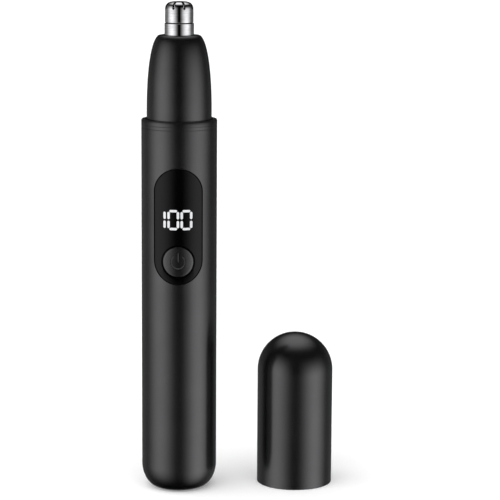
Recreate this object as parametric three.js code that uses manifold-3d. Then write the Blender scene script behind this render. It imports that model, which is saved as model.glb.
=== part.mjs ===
// A rechargeable nose hair trimmer: a drawn metal handle with a digital display and a button, a pull-off
// trimmer head with a rotary cutter, and a domed cap that stands beside it.
// Millimetres. +Z is up and the handle's axis is the Z axis; its base stands on z = 0, its front faces -Y.
import * as THREE from "three";
import { mergeVertices } from "three/addons/utils/BufferGeometryUtils.js";
import Module from "manifold-3d";

const wasm = await Module();
wasm.setup();

// ---------------------------------------------------------------- driving dimensions

const seam = 0.1; // gap between two fixed pieces that meet
const running = 0.3; // gap around a piece that turns or slides
const roundSides = 32; // facets around the large turned pieces
const middleSides = 24; // facets around the cutter, the motor and the cell
const smallSides = 12; // facets around bushes and hubs
const tinySides = 8; // facets around screws, pins and studs
const wireSides = 5; // facets around leads and the spring's wire

const handleRadius = 10.5;
const handleHeight = 104.5;
const handleWall = 1.1;
const baseWall = 1.3;
const baseFlatRadius = 5.95;
const baseRoundHeight = 6.8;

const windowDrop = 12.34; // rim down to the top of the display window
const windowHeight = 32.7;
const windowHalfWidth = 6.79;
const windowGap = 0.3; // groove around the window
const windowInset = 0.06; // the window lies this much below the handle's surface

const buttonRadius = 4.22;
const buttonGap = 0.34;
const buttonRise = 6.59; // bottom of the window up to the button's centre
const buttonTravel = 0.25;
const buttonFlange = 0.68; // the flange's width outside the button
const flangeThickness = 0.6;
const symbolRadius = 1.95;
const symbolStroke = 0.36;
const symbolDepth = 0.15;
const symbolOpening = Math.PI / 5; // half of the ring's opening at the top
const symbolBar = 1.25; // the bar's length in ring radii

const digitRise = 11.7; // the button's centre up to the middle of the digits
const digitHeight = 5.0; // between the middles of the top and bottom bars
const digitWidth = 2.57; // between the middles of the left and right bars
const digitPitch = 3.65;
const digitShift = 0.23; // the zeros' middle right of the axis, so that the three digits lie about it
const barWidth = 0.78;
const barGap = 0.14;
const guideThickness = 0.5; // the plate behind the lit bars
const moduleHalfWidth = 4.9;
const moduleHeight = 9.0;
const moduleDepth = 1.6;

const boardThickness = 0.8;
const boardHalfWidth = 6.2;
const boardOverhang = 3.3; // the board runs this far below the window
const switchSize = 4.4;
const switchDepth = 0.8;
const plungerRadius = 0.8;

const portHeight = 14.1; // middle of the charging port above the base
const socketWidth = 8.94;
const socketHeight = 3.26;
const socketDepth = 7.3;
const socketWall = 0.3;
const tongueWidth = 6.7;
const tongueThickness = 0.7;
const tongueSetback = 0.6; // the tongue ends this far inside the socket's mouth
const fillerDepth = 1.9; // the block that closes the socket's inner end
const bezelMargin = 1.2; // the bezel's width around the socket
const bezelLip = 0.5; // the bezel's raised edge
const bezelDepth = 0.95; // material behind the bezel's flat floor
const portFloor = 1.4; // the flat floor lies this far inside the handle's surface
const chargeBoardThickness = 1.0;

const chassisWall = 0.9;
const ribThickness = 1.2;
const cellRadius = 5.1;
const cellSetback = 1.2; // the cell's axis behind the handle's axis
const tabThickness = 0.15;
const leadRadius = 0.35;
const leadRoom = 1.0; // under the cell, for its pad and a lead

const motorRadius = 6.0;
const motorLength = 15.0;
const motorWall = 0.5;
const motorShaftRadius = 0.75;
const endCapLength = 2.0;
const mountThickness = 3.6;

const neckHeight = 6.3;
const neckWall = 1.4;
const neckDrop = 0.8; // the neck ring's top lies this far below the rim
const plugDepth = 6.5; // the head's plug reaches this far below the rim
const plugWall = 1.4;
const sealRadius = 0.45; // thickness radius of the O-ring

const headGap = 0.4; // between the head's base and the handle's bore
const headHeight = 23.1; // rim to the head's flat top
const headShoulder = 1.25; // the head's flat top is this much wider than the sleeve
const headCurve = 2.55; // exponent of the head's curved side
const headWall = 1.1;

const guardRadius = 3.9;
const guardWall = 0.5;
const guardRise = 9.2; // the guard's top above the head's top
const guardRound = 1.9;
const sleeveStep = 0.15; // the sleeve is this much wider than the guard, in radius
const sleeveRise = 3.2; // the sleeve's end above the head's top
const sleeveWall = 0.3;
const sleeveLip = 0.3; // the flange that holds the sleeve under the head's top
const slotCount = 8;
const slotWidth = 0.6;
const slotDepth = 2.15; // the slots reach this far below the guard's top
const slotStart = 1.15; // radius at which the slots start

const shaftRadius = 1.0;
const shaftFlat = 0.65; // half thickness across the flats of the shaft's upper end
const couplingRadius = 2.5;
const couplingHeight = 5.4;
const tangThickness = 1.1;
const tangWidth = 3.6;
const bladeThickness = 0.35;
const bladeCount = 4;
const cutterTravel = 0.5; // the cutter can sink this far against its spring
const springWire = 0.2;
const springRadius = 1.6;
const springTurns = 4;

const capHeight = 43.3;
const capProud = 0.15; // the cap's wall stands this far outside the handle's
const capWall = 0.8;
const linerWall = 0.4;
const capSpacing = 11.65; // free space between the handle and the standing cap
const capSetback = 5.0; // the cap stands this far behind the handle's axis

// ---------------------------------------------------------------- worked-out places

const boreRadius = handleRadius - handleWall;
const windowTop = handleHeight - windowDrop;
const windowBottom = windowTop - windowHeight;
const buttonHeight = windowBottom + buttonRise;
const digitsHeight = buttonHeight + digitRise;

// How far in front of the axis a wall of this radius lies, at a distance to the side.
const wallDepth = (side, radius) => Math.sqrt(radius * radius - side * side);

const buttonHoleRadius = buttonRadius + buttonGap;
const flangeRadius = buttonRadius + buttonFlange;
const flangeFront = -(wallDepth(flangeRadius, boreRadius) - seam);
const flangeBack = flangeFront + flangeThickness;
const switchFront = flangeBack + buttonTravel + seam / 2;
const boardFront = switchFront + switchDepth + seam / 2;
const boardBack = boardFront + boardThickness;
const guideFront = -(wallDepth(moduleHalfWidth, boreRadius) - 2 * seam);
const moduleFront = guideFront + guideThickness + seam;

const chassisRadius = boreRadius - 2 * seam;
const chassisBore = chassisRadius - chassisWall;
const chassisFront = boardBack + seam;
const chassisBottom = baseRoundHeight + baseWall / 2;

const neckTop = handleHeight - neckDrop;
const neckBottom = neckTop - neckHeight;
const neckRadius = boreRadius - seam;
const neckBore = neckRadius - neckWall;
const mountTop = neckBottom - 2 * seam;
const mountBottom = mountTop - mountThickness;
const chassisTop = mountBottom - 2 * seam;
const boardTop = mountBottom - 5 * seam;
const boardBottom = windowBottom - boardOverhang;

const motorTop = mountBottom - 3 * seam;
const motorBottom = motorTop - motorLength;
const motorFlat = Math.min(-boardBack - running, motorRadius);
const armatureRadius = Math.min(motorFlat - motorWall - running, motorRadius - motorWall - 1.4);
const commutatorRadius = 1.6;

const socketBottom = portHeight - socketHeight / 2;
const chargeBoardTop = socketBottom - seam;
const bezelWidth = socketWidth + 2 * bezelMargin;
const bezelHeight = socketHeight + 2 * bezelMargin;
const portFloorDepth = handleRadius - portFloor;
const socketMouth = portFloorDepth - seam;
const lowerRib = portHeight + bezelHeight / 2 + 0.6;
const upperRib = motorBottom - endCapLength - 11.0;
const cellBottom = lowerRib + ribThickness + leadRoom;
const cellTop = upperRib - 1.3;

const couplingBottom = mountTop + running;
const couplingTop = couplingBottom + couplingHeight;
const headBaseRadius = boreRadius - headGap;
const headBottom = neckTop + 2 * seam;
const headTop = handleHeight + headHeight;
const plugRadius = neckBore - running;
const plugBottom = handleHeight - plugDepth;
const webBottom = couplingTop + 1.0;
const webTop = webBottom + 1.5;
const bearingHeight = headTop - 8.0;
const collarHeight = bearingHeight + 3.0;
const springBottom = collarHeight + 0.9;
const springTop = springBottom + 3.0;
const hubBottom = springTop + seam;
const hubTop = hubBottom + 2.6;
const guardTop = headTop + guardRise;
const guardBore = guardRadius - guardWall;
const sleeveRadius = guardRadius + sleeveStep;
const sleeveTop = headTop + sleeveRise;
const headShoulderRadius = sleeveRadius + headShoulder;

const capRadius = handleRadius + capProud;
const capX = handleRadius + capSpacing + capRadius;
const linerRadius = capRadius - capWall - seam;

// ---------------------------------------------------------------- geometry helpers

// A turned solid. The profile's [radius, height] points run up the outside and down the inside.
function turned(profile, sides = roundSides) {
  const points = profile.map(([radius, height]) => new THREE.Vector2(radius, height));
  return new THREE.LatheGeometry(points, sides).rotateX(Math.PI / 2);
}

const disc = (radius, bottom, top, sides = smallSides) =>
  turned([[0, bottom], [radius, bottom], [radius, top], [0, top]], sides);

const ring = (outer, inner, bottom, top, sides = roundSides) =>
  turned([[inner, bottom], [outer, bottom], [outer, top], [inner, top], [inner, bottom]], sides);

function block([x0, x1], [y0, y1], [z0, z1]) {
  const box = new THREE.BoxGeometry(x1 - x0, y1 - y0, z1 - z0);
  return box.translate((x0 + x1) / 2, (y0 + y1) / 2, (z0 + z1) / 2);
}

// A slot outline with round ends, around the origin.
function slotShape(width, height) {
  const radius = Math.min(width, height) / 2;
  const [dx, dy] = [width / 2 - radius, height / 2 - radius];
  const shape = new THREE.Shape();
  if (dx > dy) {
    shape.absarc(dx, 0, radius, -Math.PI / 2, Math.PI / 2);
    shape.absarc(-dx, 0, radius, Math.PI / 2, (3 * Math.PI) / 2);
  } else {
    shape.absarc(0, dy, radius, 0, Math.PI);
    shape.absarc(0, -dy, radius, Math.PI, 2 * Math.PI);
  }
  return shape;
}

// An outline in X and Z, extruded along Y from y0 to y1.
function alongY(shape, y0, y1, curveSegments = 10) {
  const options = { depth: y1 - y0, bevelEnabled: false, curveSegments };
  return new THREE.ExtrudeGeometry(shape, options).rotateX(Math.PI / 2).translate(0, y1, 0);
}

// A round pin along Y.
const pinAlongY = (radius, y0, y1, x, z, sides = smallSides) =>
  new THREE.CylinderGeometry(radius, radius, y1 - y0, sides).translate(x, (y0 + y1) / 2, z);

// A tube of round section that follows a curve.
function tubeAlong(curve, radius, steps, sides) {
  const corner = (k) => (2 * Math.PI * k) / sides;
  const points = Array.from({ length: sides }, (_, k) =>
    new THREE.Vector2(radius * Math.cos(corner(k)), radius * Math.sin(corner(k))));
  const options = { steps, extrudePath: curve, bevelEnabled: false };
  return new THREE.ExtrudeGeometry(new THREE.Shape(points), options);
}

// A closed mesh as a solid that can be cut and joined.
function toSolid(geometry) {
  const bare = geometry.clone();
  bare.deleteAttribute("normal");
  bare.deleteAttribute("uv");
  const merged = mergeVertices(bare, 1e-4);
  const corners = merged.index.array;
  const kept = [];
  for (let i = 0; i < corners.length; i += 3) {
    const [a, b, c] = corners.subarray(i, i + 3);
    if (a !== b && b !== c && c !== a) kept.push(a, b, c);
  }
  const vertProperties = merged.attributes.position.array;
  const triVerts = new Uint32Array(kept);
  return new wasm.Manifold(new wasm.Mesh({ numProp: 3, vertProperties, triVerts }));
}

function toGeometry(solid) {
  const mesh = solid.getMesh();
  const geometry = new THREE.BufferGeometry();
  geometry.setAttribute("position", new THREE.BufferAttribute(mesh.vertProperties, 3));
  geometry.setIndex(new THREE.BufferAttribute(mesh.triVerts, 1));
  geometry.computeVertexNormals();
  return geometry;
}

const cut = (base, ...tools) =>
  toGeometry(tools.reduce((solid, tool) => solid.subtract(toSolid(tool)), toSolid(base)));
const join = (base, ...others) =>
  toGeometry(others.reduce((solid, other) => solid.add(toSolid(other)), toSolid(base)));
const common = (base, ...others) =>
  toGeometry(others.reduce((solid, other) => solid.intersect(toSolid(other)), toSolid(base)));

// Copies of a piece at equal angles around the Z axis.
const around = (count, piece, start = 0) =>
  Array.from({ length: count }, (_, k) => piece().rotateZ(start + (2 * Math.PI * k) / count));

// A pan-head screw along Z with a cross recess; its head sits on z = seat.
function screw(radius, headRadius, headHeight, length, x, y, seat) {
  const body = turned([
    [0, seat - length], [radius, seat - length], [radius, seat], [headRadius, seat],
    [headRadius, seat + 0.6 * headHeight], [0.6 * headRadius, seat + headHeight], [0, seat + headHeight],
  ], tinySides);
  const recess = [0.7 * headRadius, 0.16 * headRadius];
  const [long, thin] = recess.map((half) => [-half, half]);
  const depth = [seat + 0.5 * headHeight, seat + 2 * headHeight];
  return cut(body, block(long, thin, depth), block(thin, long, depth)).translate(x, y, 0);
}

// ---------------------------------------------------------------- materials

const finish = (color, roughness, metalness) =>
  new THREE.MeshStandardMaterial({ color, roughness, metalness });

const anodisedBlack = finish(0x2b2b2c, 0.45, 0.6);
const headBlack = finish(0x2a2a2b, 0.5, 0.6);
const windowBlack = finish(0x0a0a0b, 0.08, 0);
const buttonBlack = finish(0x2e2e2f, 0.4, 0.6);
const litWhite = finish(0xf4f6f8, 0.4, 0);
const steel = finish(0xd8dade, 0.15, 1);
const dullSteel = finish(0x9fa3a8, 0.35, 1);
const brass = finish(0xb89b5a, 0.35, 1);
const copper = finish(0xb5673a, 0.4, 1);
const darkPlastic = finish(0x1d1d1f, 0.6, 0);
const greyPlastic = finish(0x8d9094, 0.6, 0);
const whitePlastic = finish(0xe6e6e2, 0.55, 0);
const rubber = finish(0x141414, 0.85, 0);
const boardGreen = finish(0x1d5a3a, 0.5, 0);
const cellBlue = finish(0x2a4f8f, 0.45, 0);
const redWire = finish(0xb3221c, 0.5, 0);
const blackWire = finish(0x151515, 0.5, 0);
const magnetGrey = finish(0x4b4b4e, 0.7, 0.2);

const trimmer = new THREE.Group();

function add(name, geometry, material) {
  const mesh = new THREE.Mesh(geometry, material);
  mesh.name = name;
  trimmer.add(mesh);
  return mesh;
}

// ---------------------------------------------------------------- handle shell, window and button

const windowShape = (grow) => slotShape(2 * (windowHalfWidth + grow), windowHeight + 2 * grow);
const windowPrism = (grow, y0, y1) =>
  alongY(windowShape(grow), y0, y1).translate(0, 0, (windowTop + windowBottom) / 2);
const portPrism = (width, height, y0, y1) =>
  alongY(slotShape(width, height), y0, y1, 5).translate(0, 0, portHeight);

// The quarter curve between the side and the flat base, from the side down.
function baseCurve(outer, flat, bottom, height, steps) {
  return Array.from({ length: steps + 1 }, (_, k) => {
    const angle = (k / steps) * (Math.PI / 2);
    return [flat + (outer - flat) * Math.sin(angle), bottom + height * (1 - Math.cos(angle))];
  });
}

function handleShell() {
  const outside = baseCurve(handleRadius, baseFlatRadius, 0, baseRoundHeight, 6);
  const innerFlat = baseFlatRadius - handleWall / 2;
  const inside = baseCurve(boreRadius, innerFlat, baseWall, baseRoundHeight - handleWall, 3);
  const rim = [[handleRadius, handleHeight], [boreRadius, handleHeight]];
  const shell = turned([[0, 0], ...outside, ...rim, ...inside.reverse(), [0, baseWall]]);
  const portHole = portPrism(bezelWidth + 2 * seam, bezelHeight + 2 * seam, 0, 2 * handleRadius);
  return cut(shell, windowPrism(0, -2 * handleRadius, 0), portHole);
}

// One bar of a digit: a slim six-sided outline, upright or lying.
function barShape(length, upright) {
  const [half, side, tip] = [length / 2, barWidth / 2, length / 2 - 0.3];
  const points = [[-side, -tip], [0, -half], [side, -tip], [side, tip], [0, half], [-side, tip]];
  const turnedPoint = ([x, y]) => (upright ? new THREE.Vector2(x, y) : new THREE.Vector2(-y, x));
  return new THREE.Shape(points.map(turnedPoint));
}

// The lit bars of "100": the one has two upright bars, each zero has four upright and two lying ones.
function litBars(y0, y1, grow = 0) {
  const [halfHeight, halfWidth] = [digitHeight / 2, digitWidth / 2];
  const upright = halfHeight - barGap + 2 * grow;
  const lying = digitWidth - barGap + 2 * grow;
  const bar = (x, z, isUpright) => {
    const shape = barShape(isUpright ? upright : lying, isUpright);
    const widened = 1 + (2 * grow) / barWidth;
    const scaled = new THREE.Shape(shape.getPoints().map((p) =>
      new THREE.Vector2(p.x * (isUpright ? widened : 1), p.y * (isUpright ? 1 : widened))));
    return alongY(scaled, y0, y1).translate(x, 0, digitsHeight + z);
  };
  const zeros = [digitShift - digitPitch / 2, digitShift + digitPitch / 2];
  const one = zeros[0] - halfWidth - barWidth - 2.5 * barGap;
  const columns = [one, ...zeros.flatMap((x) => [x - halfWidth, x + halfWidth])];
  const uprights = columns.flatMap((x) => [bar(x, halfHeight / 2, true), bar(x, -halfHeight / 2, true)]);
  const lyings = zeros.flatMap((x) => [bar(x, halfHeight, false), bar(x, -halfHeight, false)]);
  return [...uprights, ...lyings];
}

function displayWindow() {
  const wall = ring(handleRadius - windowInset, boreRadius, windowBottom - 1, windowTop + 1);
  const pane = common(wall, windowPrism(-windowGap, -2 * handleRadius, 0));
  const buttonHole = pinAlongY(buttonHoleRadius, -2 * handleRadius, 0, 0, buttonHeight, roundSides);
  return cut(pane, buttonHole, ...litBars(-2 * handleRadius, 0, seam / 2));
}

// A plate in front of the display module. Each lit segment is a raised bar, up to the window's surface.
function lightGuide() {
  const [half, height] = [moduleHalfWidth, moduleHeight / 2];
  const depth = [guideFront, guideFront + guideThickness];
  const plate = block([-half, half], depth, [digitsHeight - height, digitsHeight + height]);
  const whole = join(plate, ...litBars(-2 * handleRadius, guideFront + guideThickness / 2));
  return common(whole, disc(handleRadius - windowInset, windowBottom, windowTop, roundSides));
}

function powerButton() {
  const core = pinAlongY(buttonRadius, -2 * handleRadius, flangeBack, 0, buttonHeight, roundSides);
  const shaped = common(core, disc(handleRadius - windowInset, windowBottom, windowTop, roundSides));
  const flange = pinAlongY(flangeRadius, flangeFront, flangeBack, 0, buttonHeight, roundSides);
  return cut(join(shaped, flange), ...powerSymbol());
}

// The cutters for the engraved symbol: an open ring and an upright bar, following the curved face.
function powerSymbol() {
  const floorRadius = handleRadius - windowInset - symbolDepth;
  const front = [-2 * handleRadius, -buttonRadius];
  const half = symbolStroke / 2;
  const start = Math.PI / 2 + symbolOpening;
  const end = Math.PI / 2 - symbolOpening + 2 * Math.PI;
  const arc = new THREE.Shape();
  arc.absarc(0, 0, symbolRadius + half, start, end);
  arc.absarc(0, 0, symbolRadius - half, end, start, true);
  const ringCut = alongY(arc, ...front, 14).translate(0, 0, buttonHeight);
  const barTop = buttonHeight + symbolBar * symbolRadius;
  const barCut = block([-half, half], front, [buttonHeight, barTop]);
  const inside = disc(floorRadius, windowBottom, windowTop, roundSides);
  return [cut(ringCut, inside), cut(barCut, inside)];
}

const switchPlunger = () =>
  pinAlongY(plungerRadius, flangeBack + seam / 2, switchFront + 0.2, 0, buttonHeight, tinySides);

function windowCarrier() {
  const wall = ring(boreRadius - seam, boreRadius - 0.55, windowBottom - 2, windowTop + 2);
  const outside = windowPrism(0.9, -2 * handleRadius, chassisFront - 2 * seam);
  const flangeHole = pinAlongY(flangeRadius + running, -2 * handleRadius, 0, 0, buttonHeight);
  return cut(common(wall, outside), windowPrism(-0.8, -2 * handleRadius, 0), flangeHole);
}

add("handle_shell", handleShell(), anodisedBlack);
add("display_window", displayWindow(), windowBlack);
add("window_carrier", windowCarrier(), darkPlastic);
add("light_guide", lightGuide(), litWhite);
add("power_button", powerButton(), buttonBlack);
add("switch_plunger", switchPlunger(), whitePlastic);

// ---------------------------------------------------------------- boards and charging port

const boardScrewX = boardHalfWidth - 0.9;
const boardScrewPlaces = [
  [-boardScrewX, digitsHeight - moduleHeight / 2 - 1.1], [boardScrewX, boardBottom + 1.5],
];
const moduleBack = boardFront - seam / 2;
const chipRoot = 0.2; // how deep a chip's body is let into its board
const boardScrewHole = ([x, z], depth) => pinAlongY(0.55, -handleRadius, depth, x, z, tinySides);

// The chips and passives soldered on the board's front: [x, z, width, height, depth].
const controllerHeight = (digitsHeight + moduleHeight / 2 + boardTop) / 2 - 0.6;
const resistorHeight = (buttonHeight + switchSize / 2 + digitsHeight - moduleHeight / 2) / 2;
const boardChips = [
  [0, controllerHeight, 4.0, 4.0, 0.9],
  ...[-3.9, 3.9].map((x) => [x, controllerHeight, 1.0, 2.0, 0.8]),
  ...[-3.6, -1.2, 1.2, 3.6].map((x) => [x, resistorHeight, 1.6, 0.8, 0.45]),
];

function mainBoard() {
  const width = [-boardHalfWidth, boardHalfWidth];
  const plate = block(width, [boardFront, boardBack], [boardBottom, boardTop]);
  const chips = boardChips.map(([x, z, width, height, depth]) => block(
    [x - width / 2, x + width / 2], [boardFront - depth, boardFront + chipRoot],
    [z - height / 2, z + height / 2]));
  const holes = boardScrewPlaces.map((place) => boardScrewHole(place, boardBack + 1));
  return cut(join(plate, ...chips), ...holes);
}

const boardScrew = ([x, z]) =>
  screw(0.4, 0.75, 0.45, 1.7, 0, 0, 0).rotateX(Math.PI / 2).translate(x, boardFront - seam / 2, z);

function tactSwitch() {
  const half = switchSize / 2;
  const depth = [switchFront, switchFront + switchDepth];
  const body = block([-half, half], depth, [buttonHeight - half, buttonHeight + half]);
  return cut(body, pinAlongY(plungerRadius + running, -handleRadius, switchFront + 0.6, 0, buttonHeight));
}

const displayModule = () => block(
  [-moduleHalfWidth, moduleHalfWidth],
  [Math.max(moduleFront, moduleBack - moduleDepth), moduleBack],
  [digitsHeight - moduleHeight / 2, digitsHeight + moduleHeight / 2]);

// The socket's shell is a flat-sided tube, closed at its inner end.
function usbSocket() {
  const back = socketMouth - socketDepth;
  const shell = portPrism(socketWidth, socketHeight, back, socketMouth);
  const boreSize = [socketWidth - 2 * socketWall, socketHeight - 2 * socketWall];
  return cut(shell, portPrism(...boreSize, back + socketWall, 2 * handleRadius));
}

function usbTongue() {
  const back = socketMouth - socketDepth + socketWall + seam / 2;
  const inset = socketWall + seam / 2;
  const filler = portPrism(socketWidth - 2 * inset, socketHeight - 2 * inset, back, back + fillerDepth);
  const [half, thick] = [tongueWidth / 2, tongueThickness / 2];
  const depth = [back + fillerDepth - 0.4, socketMouth - tongueSetback];
  return join(filler, block([-half, half], depth, [portHeight - thick, portHeight + thick]));
}

// The bezel follows the handle's surface outside and has a flat floor around the socket.
function portBezel() {
  const body = portPrism(bezelWidth, bezelHeight, portFloorDepth - bezelDepth, 2 * handleRadius);
  const shaped = common(body, disc(handleRadius - seam / 2, 0, handleHeight, roundSides));
  const pocketSize = [bezelWidth - 2 * bezelLip, bezelHeight - 2 * bezelLip];
  const pocket = portPrism(...pocketSize, portFloorDepth, 2 * handleRadius);
  const hole = portPrism(socketWidth + 2 * seam, socketHeight + 2 * seam, 0, 2 * handleRadius);
  return cut(shaped, pocket, hole);
}

const chargeBoardRadius = chassisBore - running;
const chargePostX = 5.6;
const chargePostY = -1.8;
const chargePosts = [[-chargePostX, chargePostY], [chargePostX, chargePostY]];
const postRadius = 1.3;

// The charging chip, a coil and two capacitors in front of the socket: [x, y, width, depth, height].
const chargeChips = [
  [-1.6, -3.4, 3.0, 2.4, 0.9], [2.2, -3.4, 2.6, 2.6, 1.2],
  ...[-1.5, 1.5].map((x) => [x, -0.9, 1.2, 0.8, 0.6]),
];

// What is cut away in front of the chassis and the charging board, to leave room for the main board.
const openFront = () =>
  block([-handleRadius, handleRadius], [-2 * handleRadius, chassisFront], [0, handleHeight]);

function chargeBoard() {
  const underside = chargeBoardTop - chargeBoardThickness;
  const plate = disc(chargeBoardRadius, underside, chargeBoardTop, middleSides);
  const chips = chargeChips.map(([x, y, width, depth, height]) => block(
    [x - width / 2, x + width / 2], [y - depth / 2, y + depth / 2],
    [chargeBoardTop - chipRoot, chargeBoardTop + height]));
  const front = openFront();
  const holes = chargePosts.map(([x, y]) => disc(0.7, 0, portHeight, tinySides).translate(x, y, 0));
  return cut(join(plate, ...chips), front, ...holes);
}

const chargeBoardScrew = ([x, y]) => screw(0.5, 1.0, 0.6, 2.4, x, y, chargeBoardTop + seam / 2);

add("display_module", displayModule(), whitePlastic);
add("main_board", mainBoard(), boardGreen);
boardScrewPlaces.forEach((place, k) => add(`board_screw_${k + 1}`, boardScrew(place), dullSteel));
add("tact_switch", tactSwitch(), darkPlastic);
add("port_bezel", portBezel(), darkPlastic);
add("usb_socket", usbSocket(), steel);
add("usb_tongue", usbTongue(), darkPlastic);
add("charge_board", chargeBoard(), boardGreen);
chargePosts.forEach((place, k) =>
  add(`charge_board_screw_${k + 1}`, chargeBoardScrew(place), dullSteel));

// ---------------------------------------------------------------- chassis, cell and leads

const cellLength = cellTop - cellBottom;
const motorSeat = motorFlat + seam;

// An open trough that carries the boards, the cell and the motor, and slides in from the handle's mouth.
function innerChassis() {
  const span = [chassisBottom, chassisTop];
  const trough = ring(chassisRadius, chassisBore, ...span);
  const wallReach = chassisBore + chassisWall / 2;
  const floor = disc(wallReach, chassisBottom, chassisBottom + ribThickness, roundSides);
  const rib = (bottom, y0, half) =>
    block([-half, half], [y0, wallDepth(half, wallReach)], [bottom, bottom + ribThickness]);
  const cellMiddle = (cellBottom + cellTop) / 2;
  const saddleFront = cellSetback + cellRadius + seam;
  const saddles = [-0.25, 0.25].map((share) => rib(cellMiddle + share * cellLength, saddleFront, 3.5));
  const cradles = [motorBottom + 2, motorTop - 3].map((z) => rib(z, motorSeat, 3.5));
  const railReach = wallDepth(-chassisFront, wallReach);
  const rail = (side) => block(
    side < 0 ? [-railReach, 1.2 - boardHalfWidth] : [boardHalfWidth - 1.2, railReach],
    [chassisFront, chassisFront + 1], [boardBottom + 0.5, digitsHeight - moduleHeight / 2]);
  const postTop = chargeBoardTop - chargeBoardThickness - seam;
  const posts = chargePosts.map(([x, y]) =>
    disc(postRadius, chassisBottom, postTop, tinySides).translate(x, y, 0));
  const whole = join(trough, floor, rib(lowerRib, -2.5, 4.5), rib(upperRib, -2.5, 4.5),
    ...saddles, ...cradles, rail(-1), rail(1), ...posts);
  const portNotch = portPrism(bezelWidth + 4 * seam, bezelHeight + 4 * seam, 0, 2 * handleRadius);
  const railHoles = boardScrewPlaces.map((place) => boardScrewHole(place, chassisFront + 2));
  const postHoles = chargePosts.map(([x, y]) =>
    disc(postRadius / 2, chassisBottom + 0.4, portHeight, tinySides).translate(x, y, 0));
  return cut(whole, openFront(), portNotch, ...railHoles, ...postHoles);
}

function batteryCell() {
  return turned([
    [0, cellBottom], [cellRadius - 0.3, cellBottom], [cellRadius, cellBottom + 0.3],
    [cellRadius, cellTop - 1.2], [cellRadius - 0.4, cellTop - 0.8],
    [1.8, cellTop - 0.8], [1.8, cellTop], [0, cellTop],
  ], middleSides).translate(0, cellSetback, 0);
}

// The welded nickel strip at one end of the cell.
const cellTab = (bottom) =>
  block([-1.5, 1.5], [cellSetback - 4.2, cellSetback + 1.8], [bottom, bottom + tabThickness]);

// The soft pad between the lower rib and the cell.
function cellPad() {
  const height = [lowerRib + ribThickness + seam, cellBottom - 3 * seam];
  return block([-1.9, 1.9], [cellSetback - 3, cellSetback + 4], height);
}

// A lead through the points given, with two steps a point.
function lead(points) {
  const route = new THREE.CatmullRomCurve3(points.map((point) => new THREE.Vector3(...point)));
  return tubeAlong(route, leadRadius, 2 * points.length, wireSides);
}

const leadSide = 6.3;
const leadFront = -2.2;
const behindBoard = boardBack + seam + leadRadius;

const cellLeadPlus = () => lead([
  [-2.3, cellSetback - 1, cellTop + 0.5],
  [-2.6, cellSetback - 3, cellTop + 0.6],
  [-2.8, behindBoard + 0.7, cellTop + 0.3],
  [-2.8, behindBoard, cellTop - 1],
  [-2.8, behindBoard, cellTop - 3],
]);

const cellLeadMinus = () => lead([
  [-2.4, cellSetback - 3, cellBottom - leadRoom / 2],
  [-4.8, cellSetback - 3.8, cellBottom - leadRoom / 2],
  [-leadSide, leadFront, cellBottom + 3],
  [-leadSide, leadFront, (cellBottom + boardBottom) / 2],
  [-leadSide, leadFront, boardBottom - 4],
  [-5.2, -3.6, boardBottom - 1.2],
  [-4.2, behindBoard, boardBottom + 1.6],
]);

// Two cores side by side in one flat cable.
const chargeLead = () => join(...[0, 1.6 * leadRadius].map((apart) => lead([
  [4.0, -1.6 + apart, chargeBoardTop + 0.6],
  [leadSide, leadFront + apart, lowerRib + 1],
  [leadSide, leadFront + apart, cellBottom + 5],
  [leadSide, leadFront + apart, boardBottom - 5],
  [5.4, -3.6 + apart, boardBottom - 1.4],
  [3.4, behindBoard + apart, boardBottom + 1.6],
])));

add("inner_chassis", innerChassis(), greyPlastic);
add("battery_cell", batteryCell(), cellBlue);
add("battery_tab_minus", cellTab(cellBottom - seam - tabThickness), dullSteel);
add("battery_tab_plus", cellTab(cellTop + seam), dullSteel);
add("battery_pad", cellPad(), rubber);
add("battery_lead_plus", cellLeadPlus(), redWire);
add("battery_lead_minus", cellLeadMinus(), blackWire);
add("charge_lead", chargeLead(), redWire);

// ---------------------------------------------------------------- motor

const motorHoleX = 4.5;
const terminalX = 3.0;
const terminalFoot = motorBottom - endCapLength - 2.2;
const bushingRadius = 1.6; // the hole for a bushing, in the can and in the end cap
const betweenFlats = (half, bottom, top) =>
  block([-handleRadius, handleRadius], [-half, half], [bottom, top]);

// A round can with two flats, open below; a boss in front centres it in its mount.
function motorCan() {
  const outside = common(
    disc(motorRadius, motorBottom, motorTop, middleSides), betweenFlats(motorFlat, motorBottom, motorTop));
  const boss = disc(2.0, motorTop - motorWall, motorTop + 1.0);
  const roof = motorTop - motorWall;
  const inside = common(
    disc(motorRadius - motorWall, 0, roof, middleSides), betweenFlats(motorFlat - motorWall, 0, roof));
  const screwHoles = [-motorHoleX, motorHoleX].map((x) =>
    disc(0.9, motorTop - 2, motorTop + 2, tinySides).translate(x, 0, 0));
  return cut(join(outside, boss), inside, disc(bushingRadius, motorBottom, motorTop + 2), ...screwHoles);
}

// One of the two arc magnets, on the left (-1) or the right (1).
function motorMagnet(side) {
  const bottom = motorBottom + 2.2;
  const half = block([1.8, handleRadius], [-handleRadius, handleRadius], [0, handleHeight]);
  return common(
    ring(motorRadius - motorWall - seam, armatureRadius + running, bottom, bottom + 10.6, middleSides),
    betweenFlats(motorFlat - motorWall - seam, 0, handleHeight),
    side < 0 ? half.rotateZ(Math.PI) : half);
}

// The end cap plugs the can's open end and holds the brushes and terminals.
function motorEndCap() {
  const plug = common(
    disc(motorRadius - motorWall - seam, motorBottom - endCapLength, motorBottom + 0.4, middleSides),
    betweenFlats(motorFlat - motorWall - seam, 0, handleHeight));
  const slots = [-terminalX, terminalX].map((x) =>
    block([x - 0.35, x + 0.35], [-1.0, 1.0], [0, handleHeight]));
  return cut(plug, disc(bushingRadius, 0, handleHeight), ...slots);
}

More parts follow.
